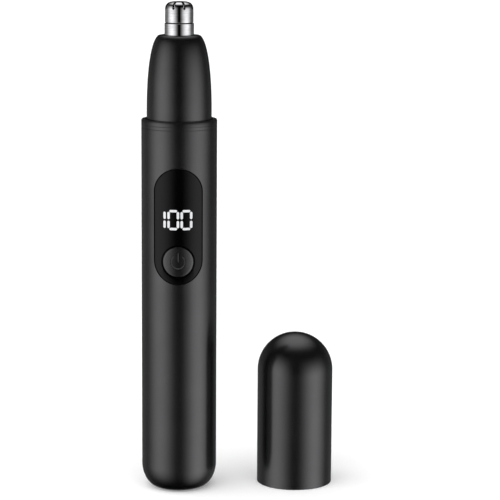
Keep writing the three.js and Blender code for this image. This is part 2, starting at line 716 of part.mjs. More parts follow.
// A terminal pin, the leaf spring on its inner end and the brush beside the commutator, in one piece.
function motorBrush(side) {
  const brushStart = commutatorRadius + running;
  const foot = motorBottom + 0.5;
  const pin = block([terminalX - 0.15, terminalX + 0.15], [-0.8, 0.8], [terminalFoot, foot + 0.4]);
  const leaf = block([brushStart, terminalX], [-0.6, 0.6], [foot, foot + 0.4]);
  const brush = block([brushStart, brushStart + 0.3], [-0.6, 0.6], [foot, foot + 1.5]);
  const whole = join(pin, leaf, brush);
  return side < 0 ? whole.rotateZ(Math.PI) : whole;
}

const bushing = (outer, inner, bottom, top) => ring(outer, inner, bottom, top, smallSides);
const shaftClearance = 0.2;
const motorBushing = (bottom, top) =>
  bushing(bushingRadius - seam, motorShaftRadius + shaftClearance, bottom, top);
const motorFrontBushing = () => motorBushing(motorTop - 1.0, motorTop + 0.9);
const motorRearBushing = () => motorBushing(motorBottom - endCapLength + 0.2, motorBottom + 0.1);

const shaftFoot = motorBottom - endCapLength - 0.4;
const shaftHead = couplingBottom + 2.6;
const motorShaft = () => disc(motorShaftRadius, shaftFoot, shaftHead);

const coreBottom = motorBottom + 3.2;
const coreTop = coreBottom + 7.6;
const poleCount = 3;
const coreBore = motorShaftRadius + seam / 2;
const slotStartRadius = 0.42 * armatureRadius;
const slotEndRadius = 0.86 * armatureRadius;
const slotHalfWidth = 0.34 * armatureRadius;
const endTurnsReach = 0.5; // the windings stand this far out of the core

// Three poles around a hub; the windings fill the slots between them.
function armatureCore() {
  const core = disc(armatureRadius, coreBottom, coreTop, middleSides);
  const gap = (reach, half) =>
    around(poleCount, () => block([slotStartRadius, reach], [-half, half], [0, handleHeight]));
  const [slots, mouths] = [gap(slotEndRadius, slotHalfWidth), gap(2 * armatureRadius, 0.25)];
  return cut(core, disc(coreBore, 0, handleHeight), ...slots, ...mouths);
}

function armatureWindings() {
  const half = slotHalfWidth - seam / 2;
  const [inner, outer] = [slotStartRadius + seam / 2, slotEndRadius - seam / 2];
  const coil = () =>
    block([inner, outer], [-half, half], [coreBottom - endTurnsReach, coreTop + endTurnsReach]);
  const endTurns = (bottom) =>
    ring(outer, inner, bottom, bottom + endTurnsReach - seam / 2, middleSides);
  const turns = [endTurns(coreBottom - endTurnsReach), endTurns(coreTop + seam / 2)];
  return join(...around(poleCount, coil), ...turns);
}

const commutator = () =>
  ring(commutatorRadius, coreBore, motorBottom + 0.6, motorBottom + 2.2, smallSides);

const sealSeatRadius = 2.3;

// The mount closes the handle under the neck, and the motor hangs from it on two screws.
function motorMount() {
  const plate = disc(chassisRadius, mountBottom, mountTop, roundSides);
  const holes = [-motorHoleX, motorHoleX].flatMap((x) => [
    disc(1.0, 0, handleHeight, tinySides).translate(x, 0, 0),
    disc(1.7, mountTop - 1.6, handleHeight, smallSides).translate(x, 0, 0),
  ]);
  const bossSeat = disc(2.2, 0, mountBottom + 1.0);
  const shaftHole = disc(1.2, 0, handleHeight);
  const sealSeat = disc(sealSeatRadius, mountTop - 1.2, handleHeight);
  return cut(plate, bossSeat, shaftHole, sealSeat, ...holes);
}

const motorScrew = (x) => screw(0.75, 1.4, 0.95, mountTop - 1.5 - motorTop + 0.9, x, 0, mountTop - 1.5);

const shaftSeal = () => ring(
  sealSeatRadius - seam, motorShaftRadius + running, mountTop - 1.1, mountTop - 0.15, smallSides);

const motorLead = (side) => lead([
  [side * terminalX, 0, terminalFoot - 0.5],
  [side * terminalX, -0.6, terminalFoot - 1.9],
  [side * 2.9, -2.6, terminalFoot - 2.8],
  [side * 2.8, behindBoard, terminalFoot - 3.6],
]);

add("motor_can", motorCan(), steel);
[-1, 1].forEach((side, k) => add(`motor_magnet_${k + 1}`, motorMagnet(side), magnetGrey));
add("motor_end_cap", motorEndCap(), whitePlastic);
[-1, 1].forEach((side, k) => add(`motor_brush_${k + 1}`, motorBrush(side), copper));
add("motor_front_bushing", motorFrontBushing(), brass);
add("motor_rear_bushing", motorRearBushing(), brass);
add("motor_shaft", motorShaft(), dullSteel);
add("armature_core", armatureCore(), dullSteel);
add("armature_windings", armatureWindings(), copper);
add("commutator", commutator(), copper);
add("motor_mount", motorMount(), greyPlastic);
[-motorHoleX, motorHoleX].forEach((x, k) => add(`motor_screw_${k + 1}`, motorScrew(x), dullSteel));
add("shaft_seal", shaftSeal(), rubber);
add("motor_lead_plus", motorLead(1), redWire);
add("motor_lead_minus", motorLead(-1), blackWire);

// ---------------------------------------------------------------- neck, coupling and head

const neckRing = () => turned([
  [neckBore, neckBottom], [neckRadius, neckBottom], [neckRadius, neckTop],
  [neckBore + 0.4, neckTop], [neckBore, neckTop - 0.4], [neckBore, neckBottom],
]);

// A hub on the motor's shaft whose slot takes the drive shaft's tang.
function driveCoupling() {
  const hub = turned([
    [0, couplingBottom], [couplingRadius, couplingBottom], [couplingRadius, couplingTop - 0.5],
    [couplingRadius - 0.5, couplingTop], [0, couplingTop],
  ], smallSides);
  const half = tangThickness / 2 + shaftClearance;
  const height = [tangBottom - running, handleHeight];
  const slot = block([-half, half], [-handleRadius, handleRadius], height);
  return cut(hub, slot, disc(coreBore, 0, shaftHead + seam));
}

const tangBottom = shaftHead + seam + 2 * running;

// The plug seats the head in the neck; its web carries the lower bush, and a groove holds the O-ring.
const plugFlange = headBaseRadius - headWall - seam;
const grooveMiddle = (plugBottom + headBottom) / 2;
const grooveHalf = sealRadius + 0.15;
const grooveRadius = plugRadius + 0.15 - 2 * sealRadius - seam / 2;
const headPlug = () => turned([
  [plugRadius - plugWall, plugBottom], [plugRadius - 0.3, plugBottom], [plugRadius, plugBottom + 0.3],
  [plugRadius, grooveMiddle - grooveHalf], [grooveRadius, grooveMiddle - grooveHalf],
  [grooveRadius, grooveMiddle + grooveHalf], [plugRadius, grooveMiddle + grooveHalf],
  [plugRadius, headBottom], [plugFlange, headBottom], [plugFlange, webTop],
  [bushRadius + seam / 2, webTop], [bushRadius + seam / 2, webBottom],
  [plugRadius - plugWall, webBottom], [plugRadius - plugWall, plugBottom],
]);

function oRing() {
  const middle = plugRadius + 0.15 - sealRadius;
  const section = Array.from({ length: 7 }, (_, k) => {
    const angle = (2 * Math.PI * k) / 6;
    return [middle + sealRadius * Math.cos(angle), grooveMiddle + sealRadius * Math.sin(angle)];
  });
  return turned(section, roundSides);
}

const bushRadius = 1.9;
const bushBore = shaftRadius + shaftClearance;

// The head's side, from its base up to the shoulder, in by a wall.
function headCurvePoints(inset, top, steps) {
  const reach = headBaseRadius - headShoulderRadius;
  return Array.from({ length: steps + 1 }, (_, k) => {
    const share = Math.sin((k / steps) * (Math.PI / 2));
    const radius = headShoulderRadius + reach * Math.sqrt(1 - share ** headCurve);
    return [radius - inset, handleHeight + share * (top - handleHeight)];
  });
}

function headShell() {
  const outside = headCurvePoints(0, headTop, 9);
  const inside = headCurvePoints(headWall, headTop - headWall, 4).reverse();
  const hole = sleeveRadius + 0.12;
  return turned([
    [headBaseRadius - headWall, headBottom], [headBaseRadius, headBottom], ...outside,
    [hole, headTop], [hole, headTop - headWall], ...inside, [headBaseRadius - headWall, headBottom],
  ]);
}

// The radius inside the head at a height.
function headBoreAt(height) {
  const share = (height - handleHeight) / (headTop - headWall - handleHeight);
  const reach = headBaseRadius - headShoulderRadius;
  return headShoulderRadius + reach * Math.sqrt(1 - share ** headCurve) - headWall;
}

function bearingPlate() {
  const rim = headBoreAt(bearingHeight + 2) - 2 * seam;
  const plate = ring(rim, bushRadius + seam / 2, bearingHeight, bearingHeight + 2, middleSides);
  const hole = () => disc(1.1, 0, headTop, tinySides).translate((rim + bushRadius) / 2, 0, 0);
  return cut(plate, ...around(4, hole));
}

const lowerBush = () => bushing(bushRadius, bushBore, webBottom + seam, webTop + 0.4);
const upperBush = () => bushing(bushRadius, bushBore, bearingHeight - 0.3, bearingHeight + 2.4);

// The bright sleeve around the guard's foot, held by a flange under the head's top.
const sleeveFlangeTop = headTop - headWall - running;
const sleeveFlange = sleeveRadius + sleeveLip;
const sleeveBore = sleeveRadius - sleeveWall;
const cutterSleeve = () => turned([
  [sleeveBore, sleeveFlangeTop - 1.2], [sleeveFlange, sleeveFlangeTop - 1.2],
  [sleeveFlange, sleeveFlangeTop], [sleeveRadius, sleeveFlangeTop], [sleeveRadius, sleeveTop],
  [sleeveBore, sleeveTop], [sleeveBore, sleeveFlangeTop - 1.2],
], middleSides);

// A round-topped profile: up the side, over the edge and in along the top.
function domedProfile(radius, top, edge, steps) {
  return Array.from({ length: steps + 1 }, (_, k) => {
    const angle = (k / steps) * (Math.PI / 2);
    return [radius - edge + edge * Math.cos(angle), top - edge + edge * Math.sin(angle)];
  });
}

function outerCutter() {
  const skirt = sleeveBore - seam / 2;
  const skirtBottom = sleeveFlangeTop - 1.0;
  const shoulder = sleeveTop + seam;
  const inside = domedProfile(guardBore, guardTop - guardWall, guardRound - guardWall, 3).reverse();
  const cup = turned([
    [guardBore, skirtBottom], [skirt, skirtBottom], [skirt, shoulder], [guardRadius, shoulder],
    ...domedProfile(guardRadius, guardTop, guardRound, 4), [0, guardTop], [0, guardTop - guardWall],
    ...inside, [guardBore, skirtBottom],
  ], middleSides);
  const half = slotWidth / 2;
  const height = [guardTop - slotDepth, guardTop + 1];
  const slot = () => block([slotStart, 2 * guardRadius], [-half, half], height);
  return cut(cup, ...around(slotCount, slot, Math.PI / slotCount));
}

add("neck_ring", neckRing(), darkPlastic);
add("drive_coupling", driveCoupling(), whitePlastic);
add("head_plug", headPlug(), darkPlastic);
add("head_o_ring", oRing(), rubber);
add("head_shell", headShell(), headBlack);
add("bearing_plate", bearingPlate(), darkPlastic);
add("lower_bush", lowerBush(), brass);
add("upper_bush", upperBush(), brass);
add("cutter_sleeve", cutterSleeve(), steel);
add("outer_cutter", outerCutter(), steel);

// ---------------------------------------------------------------- drive shaft, spring and inner cutter

const shaftTop = guardTop - guardRound - 1.6;
const flatsBottom = collarHeight + 1.0;

// A round shaft with a flat tang below and two flats above, on which the cutter's hub slides.
function driveShaft() {
  const round = disc(shaftRadius, couplingTop + running, shaftTop);
  const flats = [-1, 1].map((side) => {
    const reach = [side * shaftFlat, side * 2 * shaftRadius].sort((a, b) => a - b);
    return block([-2 * shaftRadius, 2 * shaftRadius], reach, [flatsBottom, headTop + guardRise]);
  });
  const [thick, wide] = [tangThickness / 2, tangWidth / 2];
  const tang = block([-thick, thick], [-wide, wide], [tangBottom, couplingTop + 2 * running]);
  return cut(join(round, tang), ...flats);
}

const springCollar = () =>
  ring(2.2, shaftRadius + seam / 2, collarHeight, collarHeight + 0.8, smallSides);

class Helix extends THREE.Curve {
  constructor(radius, bottom, top, turns) {
    super();
    Object.assign(this, { radius, bottom, top, turns });
  }

  getPoint(share, target = new THREE.Vector3()) {
    const angle = 2 * Math.PI * this.turns * share;
    const height = THREE.MathUtils.lerp(this.bottom, this.top, share);
    return target.set(this.radius * Math.cos(angle), this.radius * Math.sin(angle), height);
  }
}

function cutterSpring() {
  const coil = new Helix(springRadius, springBottom + springWire, springTop - springWire, springTurns);
  return tubeAlong(coil, springWire, springTurns * 10, wireSides);
}

function cutterHub() {
  const body = ring(2.4, 0.5, hubBottom, hubTop, smallSides);
  const bore = shaftRadius + shaftClearance / 2;
  const flat = shaftFlat + shaftClearance / 2;
  return cut(body, common(disc(bore, 0, guardTop), betweenFlats(flat, 0, guardTop)));
}

// Four upright blades on a thin plate; their tips follow the inside of the guard.
function innerCutter() {
  const bladeRadius = guardBore - running;
  const bladeTop = guardTop - guardWall - running;
  const bridgeBottom = shaftTop + cutterTravel + running;
  const bottom = hubTop + seam / 2;
  const dome = domedProfile(bladeRadius, bladeTop, guardRound - guardWall, 3);
  const envelope = turned([[0, bottom], [bladeRadius, bottom], ...dome, [0, bladeTop]], middleSides);
  const plate = disc(bladeRadius, bottom, bottom + 0.5, middleSides);
  const inner = shaftRadius + shaftClearance;
  const half = bladeThickness / 2;
  const blade = () => block([inner, bladeRadius], [-half, half], [bottom, bladeTop + 1]);
  const bridge = disc(inner + 0.6, bridgeBottom, bladeTop);
  const whole = common(join(plate, bridge, ...around(bladeCount, blade)), envelope);
  return cut(whole, disc(inner, 0, bridgeBottom));
}

add("drive_shaft", driveShaft(), dullSteel);
add("spring_collar", springCollar(), whitePlastic);
add("cutter_spring", cutterSpring(), dullSteel);
add("cutter_hub", cutterHub(), whitePlastic);
add("inner_cutter", innerCutter(), steel);

// ---------------------------------------------------------------- cap

// A tube with a round end; it stands on its open rim.
function capShell() {
  const inner = capRadius - capWall;
  const outside = domedProfile(capRadius, capHeight, capRadius, 9);
  const inside = domedProfile(inner, capHeight - capWall, inner, 5).reverse();
  return turned([[inner, 0], [capRadius, 0], ...outside, ...inside, [inner, 0]]);
}

// A plastic sleeve whose four small ribs grip the head's base.
function capLiner() {
  const linerBore = linerRadius - linerWall;
  const top = capHeight - capRadius;
  const sleeve = ring(linerRadius, linerBore, 0.6, top);
  const ribDepth = (linerBore - headBaseRadius) / 2;
  const rib = () => block([linerBore - ribDepth, linerBore + linerWall / 2], [-0.4, 0.4], [2, 8]);
  return join(sleeve, ...around(4, rib, Math.PI / 4));
}

add("cap_shell", capShell().translate(capX, capSetback, 0), anodisedBlack);
add("cap_liner", capLiner().translate(capX, capSetback, 0), darkPlastic);

export default trimmer;
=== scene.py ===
import math

import bmesh
import bpy
from mathutils import Matrix, Vector


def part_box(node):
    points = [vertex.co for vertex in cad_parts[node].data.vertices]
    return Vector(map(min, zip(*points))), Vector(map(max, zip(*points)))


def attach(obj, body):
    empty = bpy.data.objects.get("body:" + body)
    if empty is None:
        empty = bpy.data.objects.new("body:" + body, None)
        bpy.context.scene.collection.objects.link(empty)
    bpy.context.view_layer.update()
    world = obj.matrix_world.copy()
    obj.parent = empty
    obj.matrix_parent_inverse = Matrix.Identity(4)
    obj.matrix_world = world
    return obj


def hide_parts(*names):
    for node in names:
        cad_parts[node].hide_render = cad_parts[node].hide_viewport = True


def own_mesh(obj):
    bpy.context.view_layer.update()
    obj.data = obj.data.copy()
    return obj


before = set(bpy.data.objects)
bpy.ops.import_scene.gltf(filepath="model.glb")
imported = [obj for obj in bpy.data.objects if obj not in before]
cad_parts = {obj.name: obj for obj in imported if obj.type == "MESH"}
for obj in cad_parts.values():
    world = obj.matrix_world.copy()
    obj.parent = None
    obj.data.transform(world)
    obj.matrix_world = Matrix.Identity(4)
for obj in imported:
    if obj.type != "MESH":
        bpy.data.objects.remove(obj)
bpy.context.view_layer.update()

# A rechargeable nose hair trimmer that stands beside its cap.
# Shapes are worked out in millimetres and made in metres.
# The handle's axis is Z and its front faces -Y.

MM = 0.001


def extent(node):
    """The lowest and highest corner of a node, in millimetres."""
    low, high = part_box(node)
    return [value / MM for value in low], [value / MM for value in high]


# ------------------------------------------------------------ sizes taken from the frame

_, (handle_r, _, handle_top) = extent("handle_shell")
(_, _, pane_bottom), (pane_half, _, pane_top) = extent("display_window")
(_, _, button_low), (flange_r, _, button_high) = extent("power_button")
(_, _, head_bottom), (head_r, _, head_top) = extent("head_shell")
_, (_, _, sleeve_top) = extent("cutter_sleeve")
(_, _, guard_bottom), (guard_r, _, guard_top) = extent("outer_cutter")
(cap_left, cap_front, _), (cap_right, cap_back, cap_top) = extent("cap_shell")
(_, _, liner_bottom), (liner_right, _, liner_top) = extent("cap_liner")
(_, _, guide_low), (_, _, guide_high) = extent("light_guide")
(_, bezel_back, bezel_low), (bezel_half, _, bezel_high) = extent("port_bezel")
(_, socket_back, socket_low), (socket_half, socket_mouth, socket_high) = extent("usb_socket")
(_, _, neck_bottom), (neck_r, _, neck_top) = extent("neck_ring")
(_, _, plug_bottom), (plug_r, _, plug_top) = extent("head_plug")
(_, _, ring_low), (ring_r, _, ring_high) = extent("head_o_ring")
(_, _, mount_bottom), (mount_r, _, mount_top) = extent("motor_mount")
(_, _, coupling_low), (coupling_r, _, coupling_high) = extent("drive_coupling")
(_, _, tang_bottom), (_, _, drive_shaft_top) = extent("drive_shaft")
_, (_, _, motor_shaft_top) = extent("motor_shaft")

button_z = (button_low + button_high) / 2
digits_z = (guide_low + guide_high) / 2
port_z = (bezel_low + bezel_high) / 2
cap_x, cap_y = (cap_left + cap_right) / 2, (cap_front + cap_back) / 2
cap_r = (cap_right - cap_left) / 2

# ------------------------------------------------------------ sizes shared by several pieces

handle_wall = 1.1
base_thickness = 1.3
base_flat_r = 5.95
base_round = 6.8

window_side, window_end = 0.24, 0.14  # room round the CAD pane, at its sides and at its ends
window_half = pane_half + window_side
window_low, window_high = pane_bottom - window_end, pane_top + window_end
window_gap = 0.3  # between the edge of the opening and the pane, where the seal shows
window_inset = 0.06  # how far the pane and the button lie below the tube's surface
bars_back, bar_slots_back = -8.2, -8.3  # how deep the lit bars and their slots go, along Y

flange_width = 0.68
button_r = flange_r - flange_width
button_gap = 0.46  # between the button and the pane

sleeve_round_guard = 0.15
sleeve_r = guard_r + sleeve_round_guard
sleeve_wall = 0.3
clearance = 0.05  # between the pieces inside the head

head_wall = 1.1
head_rim_z = handle_top
neck_wall = plug_wall = 1.4
cap_wall = 0.8

# ------------------------------------------------------------ shaping helpers

ROUND = 192  # steps around the large turned pieces
FINE = 96  # steps around the small turned pieces
SCREW = 48  # steps around screws and small bores
CREASE = 32  # an edge that turns by more degrees than this stays sharp
WELD = 1e-7  # corners nearer than this, in metres, become one
ON_AXIS = 1e-6  # a smaller radius, in millimetres, is a point on the axis
PAST = 1  # how far a tool reaches past the piece that it cuts, in millimetres


def arc(centre, radius, start, end, steps):
    """Points on an arc from start to end, in degrees."""
    angles = [math.radians(start + (end - start) * k / steps) for k in range(steps + 1)]
    return [(centre[0] + radius * math.cos(a), centre[1] + radius * math.sin(a)) for a in angles]


def quarter(steps):
    """Angles from 0 to 90 degrees, in radians."""
    return [math.radians(90 * k / steps) for k in range(steps + 1)]


def softened(points, radius=0.12, steps=3, closed=True):
    """The outline with each corner rounded by an arc where its sides are long enough.

    A point may carry a radius of its own as its third value.
    """
    out = []
    count = len(points)
    for k, point in enumerate(points):
        here = Vector(point[:2])
        size = point[2] if len(point) > 2 else radius
        before, after = Vector(points[k - 1][:2]), Vector(points[(k + 1) % count][:2])
        if size == 0 or (not closed and k in (0, count - 1)):
            out.append(tuple(here))
            continue
        a, b = before - here, after - here
        bend = a.angle(b)
        reach = size / math.tan(bend / 2)
        limit = 0.45 * min(a.length, b.length)  # just under half of the shorter side
        if reach > limit:
            size *= limit / reach
            reach = limit
        a.normalize()
        b.normalize()
        centre = here + (a + b).normalized() * size / math.sin(bend / 2)
        start, end = here + a * reach - centre, here + b * reach - centre
        turn = start.angle_signed(end)
        for step in range(steps + 1):
            out.append(tuple(centre + Matrix.Rotation(-turn * step / steps, 2) @ start))
    return out


def finish_mesh(mesh):
    """Smooth shading, with creases only where the surface really turns."""
    work = bmesh.new()
    work.from_mesh(mesh)
    bmesh.ops.remove_doubles(work, verts=work.verts, dist=WELD)
    bmesh.ops.recalc_face_normals(work, faces=work.faces)
    work.to_mesh(mesh)
    work.free()
    mesh.shade_smooth()
    mesh.set_sharp_from_angle(angle=math.radians(CREASE))


def link_object(name, mesh):
    """A new object in the scene, with a finished mesh."""
    finish_mesh(mesh)
    made = bpy.data.objects.new(name, mesh)
    bpy.context.scene.collection.objects.link(made)
    return made


def piece(name, points, faces):
    """A new object from points in millimetres."""
    mesh = bpy.data.meshes.new(name)
    mesh.from_pydata([Vector(point) * MM for point in points], [], faces)
    return link_object(name, mesh)


def turned(name, profile, steps=ROUND, spot=lambda x, y, height: (x, y, height)):
    """A piece turned on a lathe from (radius, height) points.

    A profile that starts away from the axis is closed on itself: that makes a ring, or a cup if
    it touches the axis twice on its way. spot places a point, for a piece that isn't round about Z.
    """
    points, rings = [], []
    for radius, height in profile:
        if radius < ON_AXIS:
            rings.append([len(points)] * steps)
            points.append(spot(0, 0, height))
            continue
        rings.append(list(range(len(points), len(points) + steps)))
        for k in range(steps):
            angle = 2 * math.pi * k / steps
            points.append(spot(radius * math.cos(angle), radius * math.sin(angle), height))
    pairs = list(zip(rings, rings[1:]))
    if profile[0][0] > ON_AXIS:
        pairs.append((rings[-1], rings[0]))
    faces = []
    for low, high in pairs:
        for k in range(steps):
            corners = [low[k], low[(k + 1) % steps], high[(k + 1) % steps], high[k]]
            face = [c for i, c in enumerate(corners) if c not in corners[:i]]
            if len(face) > 2:
                faces.append(face)
    return piece(name, points, faces)


def round_bar(name, radius, low, high, steps=ROUND):
    """A plain round bar on the handle's axis."""
    return turned(name, [(0, low), (radius, low), (radius, high), (0, high)], steps)


def square_ring(name, inner, outer, low, high):
    """A plain ring on the handle's axis."""
    return turned(name, [(inner, low), (outer, low), (outer, high), (inner, high)])


def prism(name, outline, start, end, along="Y"):
    """An outline pushed along an axis: Y takes (x, z) points, Z takes (x, y) points."""
    spot = (lambda p, d: (p[0], d, p[1])) if along == "Y" else (lambda p, d: (p[0], p[1], d))
    count = len(outline)
    points = [spot(p, start) for p in outline] + [spot(p, end) for p in outline]
    faces = [list(range(count)), list(range(count, 2 * count))]
    faces += [[k, (k + 1) % count, count + (k + 1) % count, count + k] for k in range(count)]
    return piece(name, points, faces)


def from_front(outline, end=0, name="tool"):
    """An outline pushed in from before the handle, as far as end along Y."""
    return prism(name, outline, -2 * handle_r, end)


def from_back(outline, end=0, name="tool"):
    """An outline pushed in from behind the handle, as far as end along Y."""
    return prism(name, outline, end, 2 * handle_r)


def block(name, low, high):
    """A box between two corners."""
    outline = [(low[0], low[1]), (high[0], low[1]), (high[0], high[1]), (low[0], high[1])]
    return prism(name, outline, low[2], high[2], along="Z")


def pill(width, height, centre=(0, 0), steps=24):
    """An outline with straight sides and round ends."""
    radius = min(width, height) / 2
    dx, dy = width / 2 - radius, height / 2 - radius
    x, y = centre
    if dx > dy:
        return arc((x + dx, y), radius, -90, 90, steps) + arc((x - dx, y), radius, 90, 270, steps)
    if dy > dx:
        return arc((x, y + dy), radius, 0, 180, steps) + arc((x, y - dy), radius, 180, 360, steps)
    return arc((x, y), radius, 0, 360, 2 * steps)[:-1]


def bake(made):
    """Applies the piece's modifiers to its mesh."""
    ready = made.evaluated_get(bpy.context.evaluated_depsgraph_get())
    mesh = bpy.data.meshes.new_from_object(ready)
    made.modifiers.clear()
    old = made.data
    made.data = mesh
    bpy.data.meshes.remove(old)
    finish_mesh(mesh)
    return made


def carve(made, *tools, operation="DIFFERENCE"):
    """Cuts the tools out of a piece, or keeps or adds what they share, and removes them."""
    for tool in tools:
        step = made.modifiers.new("carve", "BOOLEAN")
        step.operation = operation
        step.solver = "EXACT"
        step.object = tool
    bake(made)
    for tool in tools:
        bpy.data.objects.remove(tool)
    return made


def soften_edges(made, width, segments=2, angle=40):
    """A small round on every edge that turns by more than the angle."""
    step = made.modifiers.new("soften", "BEVEL")
    step.width = width * MM
    step.segments = segments
    step.limit_method = "ANGLE"
    step.angle_limit = math.radians(angle)
    step.use_clamp_overlap = True
    return bake(made)


def spin(made, angle):
    """Turns a tool about the handle's axis."""
    made.data.transform(Matrix.Rotation(angle, 4, "Z"))
    return made


def move(made, x, y=0.0):
    """Shifts a piece's mesh sideways, in millimetres."""
    made.data.transform(Matrix.Translation((x * MM, y * MM, 0)))
    return made


def join(name, *parts):
    """One object out of several."""
    work = bmesh.new()
    for part in parts:
        work.from_mesh(part.data)
        bpy.data.objects.remove(part)
    mesh = bpy.data.meshes.new(name)
    work.to_mesh(mesh)
    work.free()
    return link_object(name, mesh)


def place(made, body, slot, material, *nodes):
    """Puts a piece on its body, in place of the nodes that it stands for."""
    indices = [face.material_index for face in made.data.polygons]
    made.data.materials.clear()
    for one in material if isinstance(material, list) else [material]:
        made.data.materials.append(one)
    made.data.polygons.foreach_set("material_index", indices)
    even = made.modifiers.new("even_normals", "WEIGHTED_NORMAL")
    even.keep_sharp = True
    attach(made, body)
    if nodes:
        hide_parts(*nodes)
    return made


# ------------------------------------------------------------ materials

MIX_FACTOR, MIX_A, MIX_B, MIX_COLOUR = 0, 6, 7, 2  # a Mix node's sockets for colour


def linear(hex_colour):
    """An sRGB hex colour as linear RGBA."""
    channels = [int(hex_colour[k:k + 2], 16) / 255 for k in (1, 3, 5)]
    return [c / 12.92 if c <= 0.04045 else ((c + 0.055) / 1.055) ** 2.4 for c in channels] + [1.0]


def add(tree, kind, links=None, **settings):
    """Adds a node: settings are its own, links give each socket a value or another node's output."""
    made = tree.nodes.new(kind)
    for name, value in settings.items():
        setattr(made, name, value)
    for socket, value in (links or {}).items():
        if isinstance(value, bpy.types.NodeSocket):
            tree.links.new(value, made.inputs[socket])
        else:
            made.inputs[socket].default_value = value
    return made


def surface(name, dark, light, roughness, grain_mm, bump_mm, stretch=(1, 1, 1), patch_mm=6.0, **shader):
    """A finish whose colour and roughness drift in patches, over a fine grain that also raises it.

    roughness is (lowest, highest); grain_mm is the grain's size and bump_mm its height; stretch
    lengthens it; shader sets inputs of the Principled shader.
    """
    material = bpy.data.materials.new(name)
    material.use_nodes = True
    tree = material.node_tree
    tree.nodes.clear()
    where = add(tree, "ShaderNodeTexCoord").outputs["Object"]
    grain_place = add(tree, "ShaderNodeMapping", {"Vector": where, "Scale": [1 / s for s in stretch]})
    grain = add(tree, "ShaderNodeTexNoise", {
        "Vector": grain_place.outputs["Vector"], "Scale": 1 / (grain_mm * MM), "Detail": 3.0,
        "Roughness": 0.6})
    patches = add(tree, "ShaderNodeTexNoise", {
        "Vector": where, "Scale": 1 / (patch_mm * MM), "Detail": 2.0})
    both = add(tree, "ShaderNodeMix", {
        "Factor": 0.5, "A": patches.outputs["Fac"], "B": grain.outputs["Fac"]}, data_type="FLOAT")
    drift = {"Value": both.outputs["Result"], "From Min": 0.35, "From Max": 0.65}
    share = add(tree, "ShaderNodeMapRange", drift)
    colour = add(tree, "ShaderNodeMix", {
        MIX_FACTOR: share.outputs["Result"], MIX_A: linear(dark), MIX_B: linear(light)}, data_type="RGBA")
    rough = add(tree, "ShaderNodeMapRange", {**drift, "To Min": roughness[0], "To Max": roughness[1]})
    bump = add(tree, "ShaderNodeBump", {
        "Height": grain.outputs["Fac"], "Distance": bump_mm * MM, "Strength": 1.0})
    principled = add(tree, "ShaderNodeBsdfPrincipled", {
        "Base Color": colour.outputs[MIX_COLOUR], "Roughness": rough.outputs["Result"],
        "Normal": bump.outputs["Normal"], **shader})
    out = add(tree, "ShaderNodeOutputMaterial", {"Surface": principled.outputs["BSDF"]})
    out.is_active_output = True
    return material


# Black anodised aluminium, bead-blasted: a dark metal with wide soft highlights and a barely visible grit.
black_anodised_aluminium = surface(
    "black_anodised_aluminium", "#565657", "#5c5c5d", (0.22, 0.25), grain_mm=0.35, bump_mm=0.002,
    patch_mm=9.0, Metallic=0.97)

# Satin black lacquer over spun steel: the head matches the handle but its grain is a little softer.
satin_black_lacquer = surface(
    "satin_black_lacquered_steel", "#555556", "#5b5b5c", (0.22, 0.26), grain_mm=0.45, bump_mm=0.002,
    patch_mm=7.0, Metallic=0.97)

# Smoked acrylic, polished: deep black with a thin clear reflection.
smoked_acrylic = surface(
    "smoked_acrylic_window", "#020202", "#030303", (0.05, 0.07), grain_mm=3.0, bump_mm=0.0004,
    patch_mm=14.0, IOR=1.49, **{"Specular IOR Level": 0.24})

# Matt dark ink in the engraved on-off sign: a faint even line that takes no highlight from the metal.
matt_sign_ink = surface(
    "matt_sign_ink", "#232324", "#2b2b2c", (0.55, 0.65), grain_mm=0.16, bump_mm=0.004,
    patch_mm=3.0, IOR=1.5)

# Clear polycarbonate light guide, lit from behind: even white bars.
lit_polycarbonate = surface(
    "lit_polycarbonate_bars", "#a2a4a6", "#b2b4b6", (0.3, 0.34), grain_mm=0.5, bump_mm=0.001,
    IOR=1.58, **{"Emission Color": linear("#ffffff"), "Emission Strength": 0.25})

# Stainless steel, turned and polished: mirror bright, with fine rings left by the tool.
polished_stainless = surface(
    "polished_turned_stainless", "#d9d9dc", "#fafafc", (0.02, 0.05), grain_mm=0.16, bump_mm=0.0012,
    stretch=(30, 30, 1), patch_mm=2.0, Metallic=1.0)

# Stainless steel inside the guard and in its slots: dull, with its colour darkened to near black as painted
# shade in the hollow and the slots.
pickled_steel = surface(
    "dull_stainless_painted_shade_inside", "#1c1b1b", "#272625", (0.45, 0.6), grain_mm=0.12, bump_mm=0.002,
    patch_mm=1.0, Metallic=1.0)

# Plain drawn steel: greyer, with a fine grain along its length.
drawn_steel = surface(
    "plain_drawn_steel", "#a4a6aa", "#b8babd", (0.24, 0.36), grain_mm=0.12, bump_mm=0.001,
    stretch=(1, 1, 10), Metallic=1.0)

# Nickel-plated brass shell of the socket: bright and slightly warm.
nickel_plate = surface(
    "nickel_plated_shell", "#c9c7c2", "#d6d4cf", (0.16, 0.24), grain_mm=0.2, bump_mm=0.0006, Metallic=1.0)

# Gold-plated contacts: a warm yellow glint in the socket.
gold_plate = surface(
    "gold_plated_contacts", "#d8b25a", "#e6c36b", (0.2, 0.26), grain_mm=0.1, bump_mm=0.0004, Metallic=1.0)

# Sintered bronze bushes: a matt brownish yellow full of fine pores.
sintered_bronze = surface(
    "sintered_bronze", "#9c7a44", "#b8945a", (0.38, 0.5), grain_mm=0.14, bump_mm=0.004, Metallic=1.0)

# Enamelled copper wire: orange brown with a varnish shine.
enamelled_copper = surface(
    "enamelled_copper", "#8e4a22", "#b4683a", (0.22, 0.32), grain_mm=0.25, bump_mm=0.02,
    stretch=(1, 1, 8), Metallic=0.9)

# Moulded ABS, black and matt: sockets, plug and liner.
moulded_black_abs = surface(
    "moulded_black_ABS", "#1b1b1c", "#222223", (0.45, 0.56), grain_mm=0.25, bump_mm=0.004, IOR=1.54)

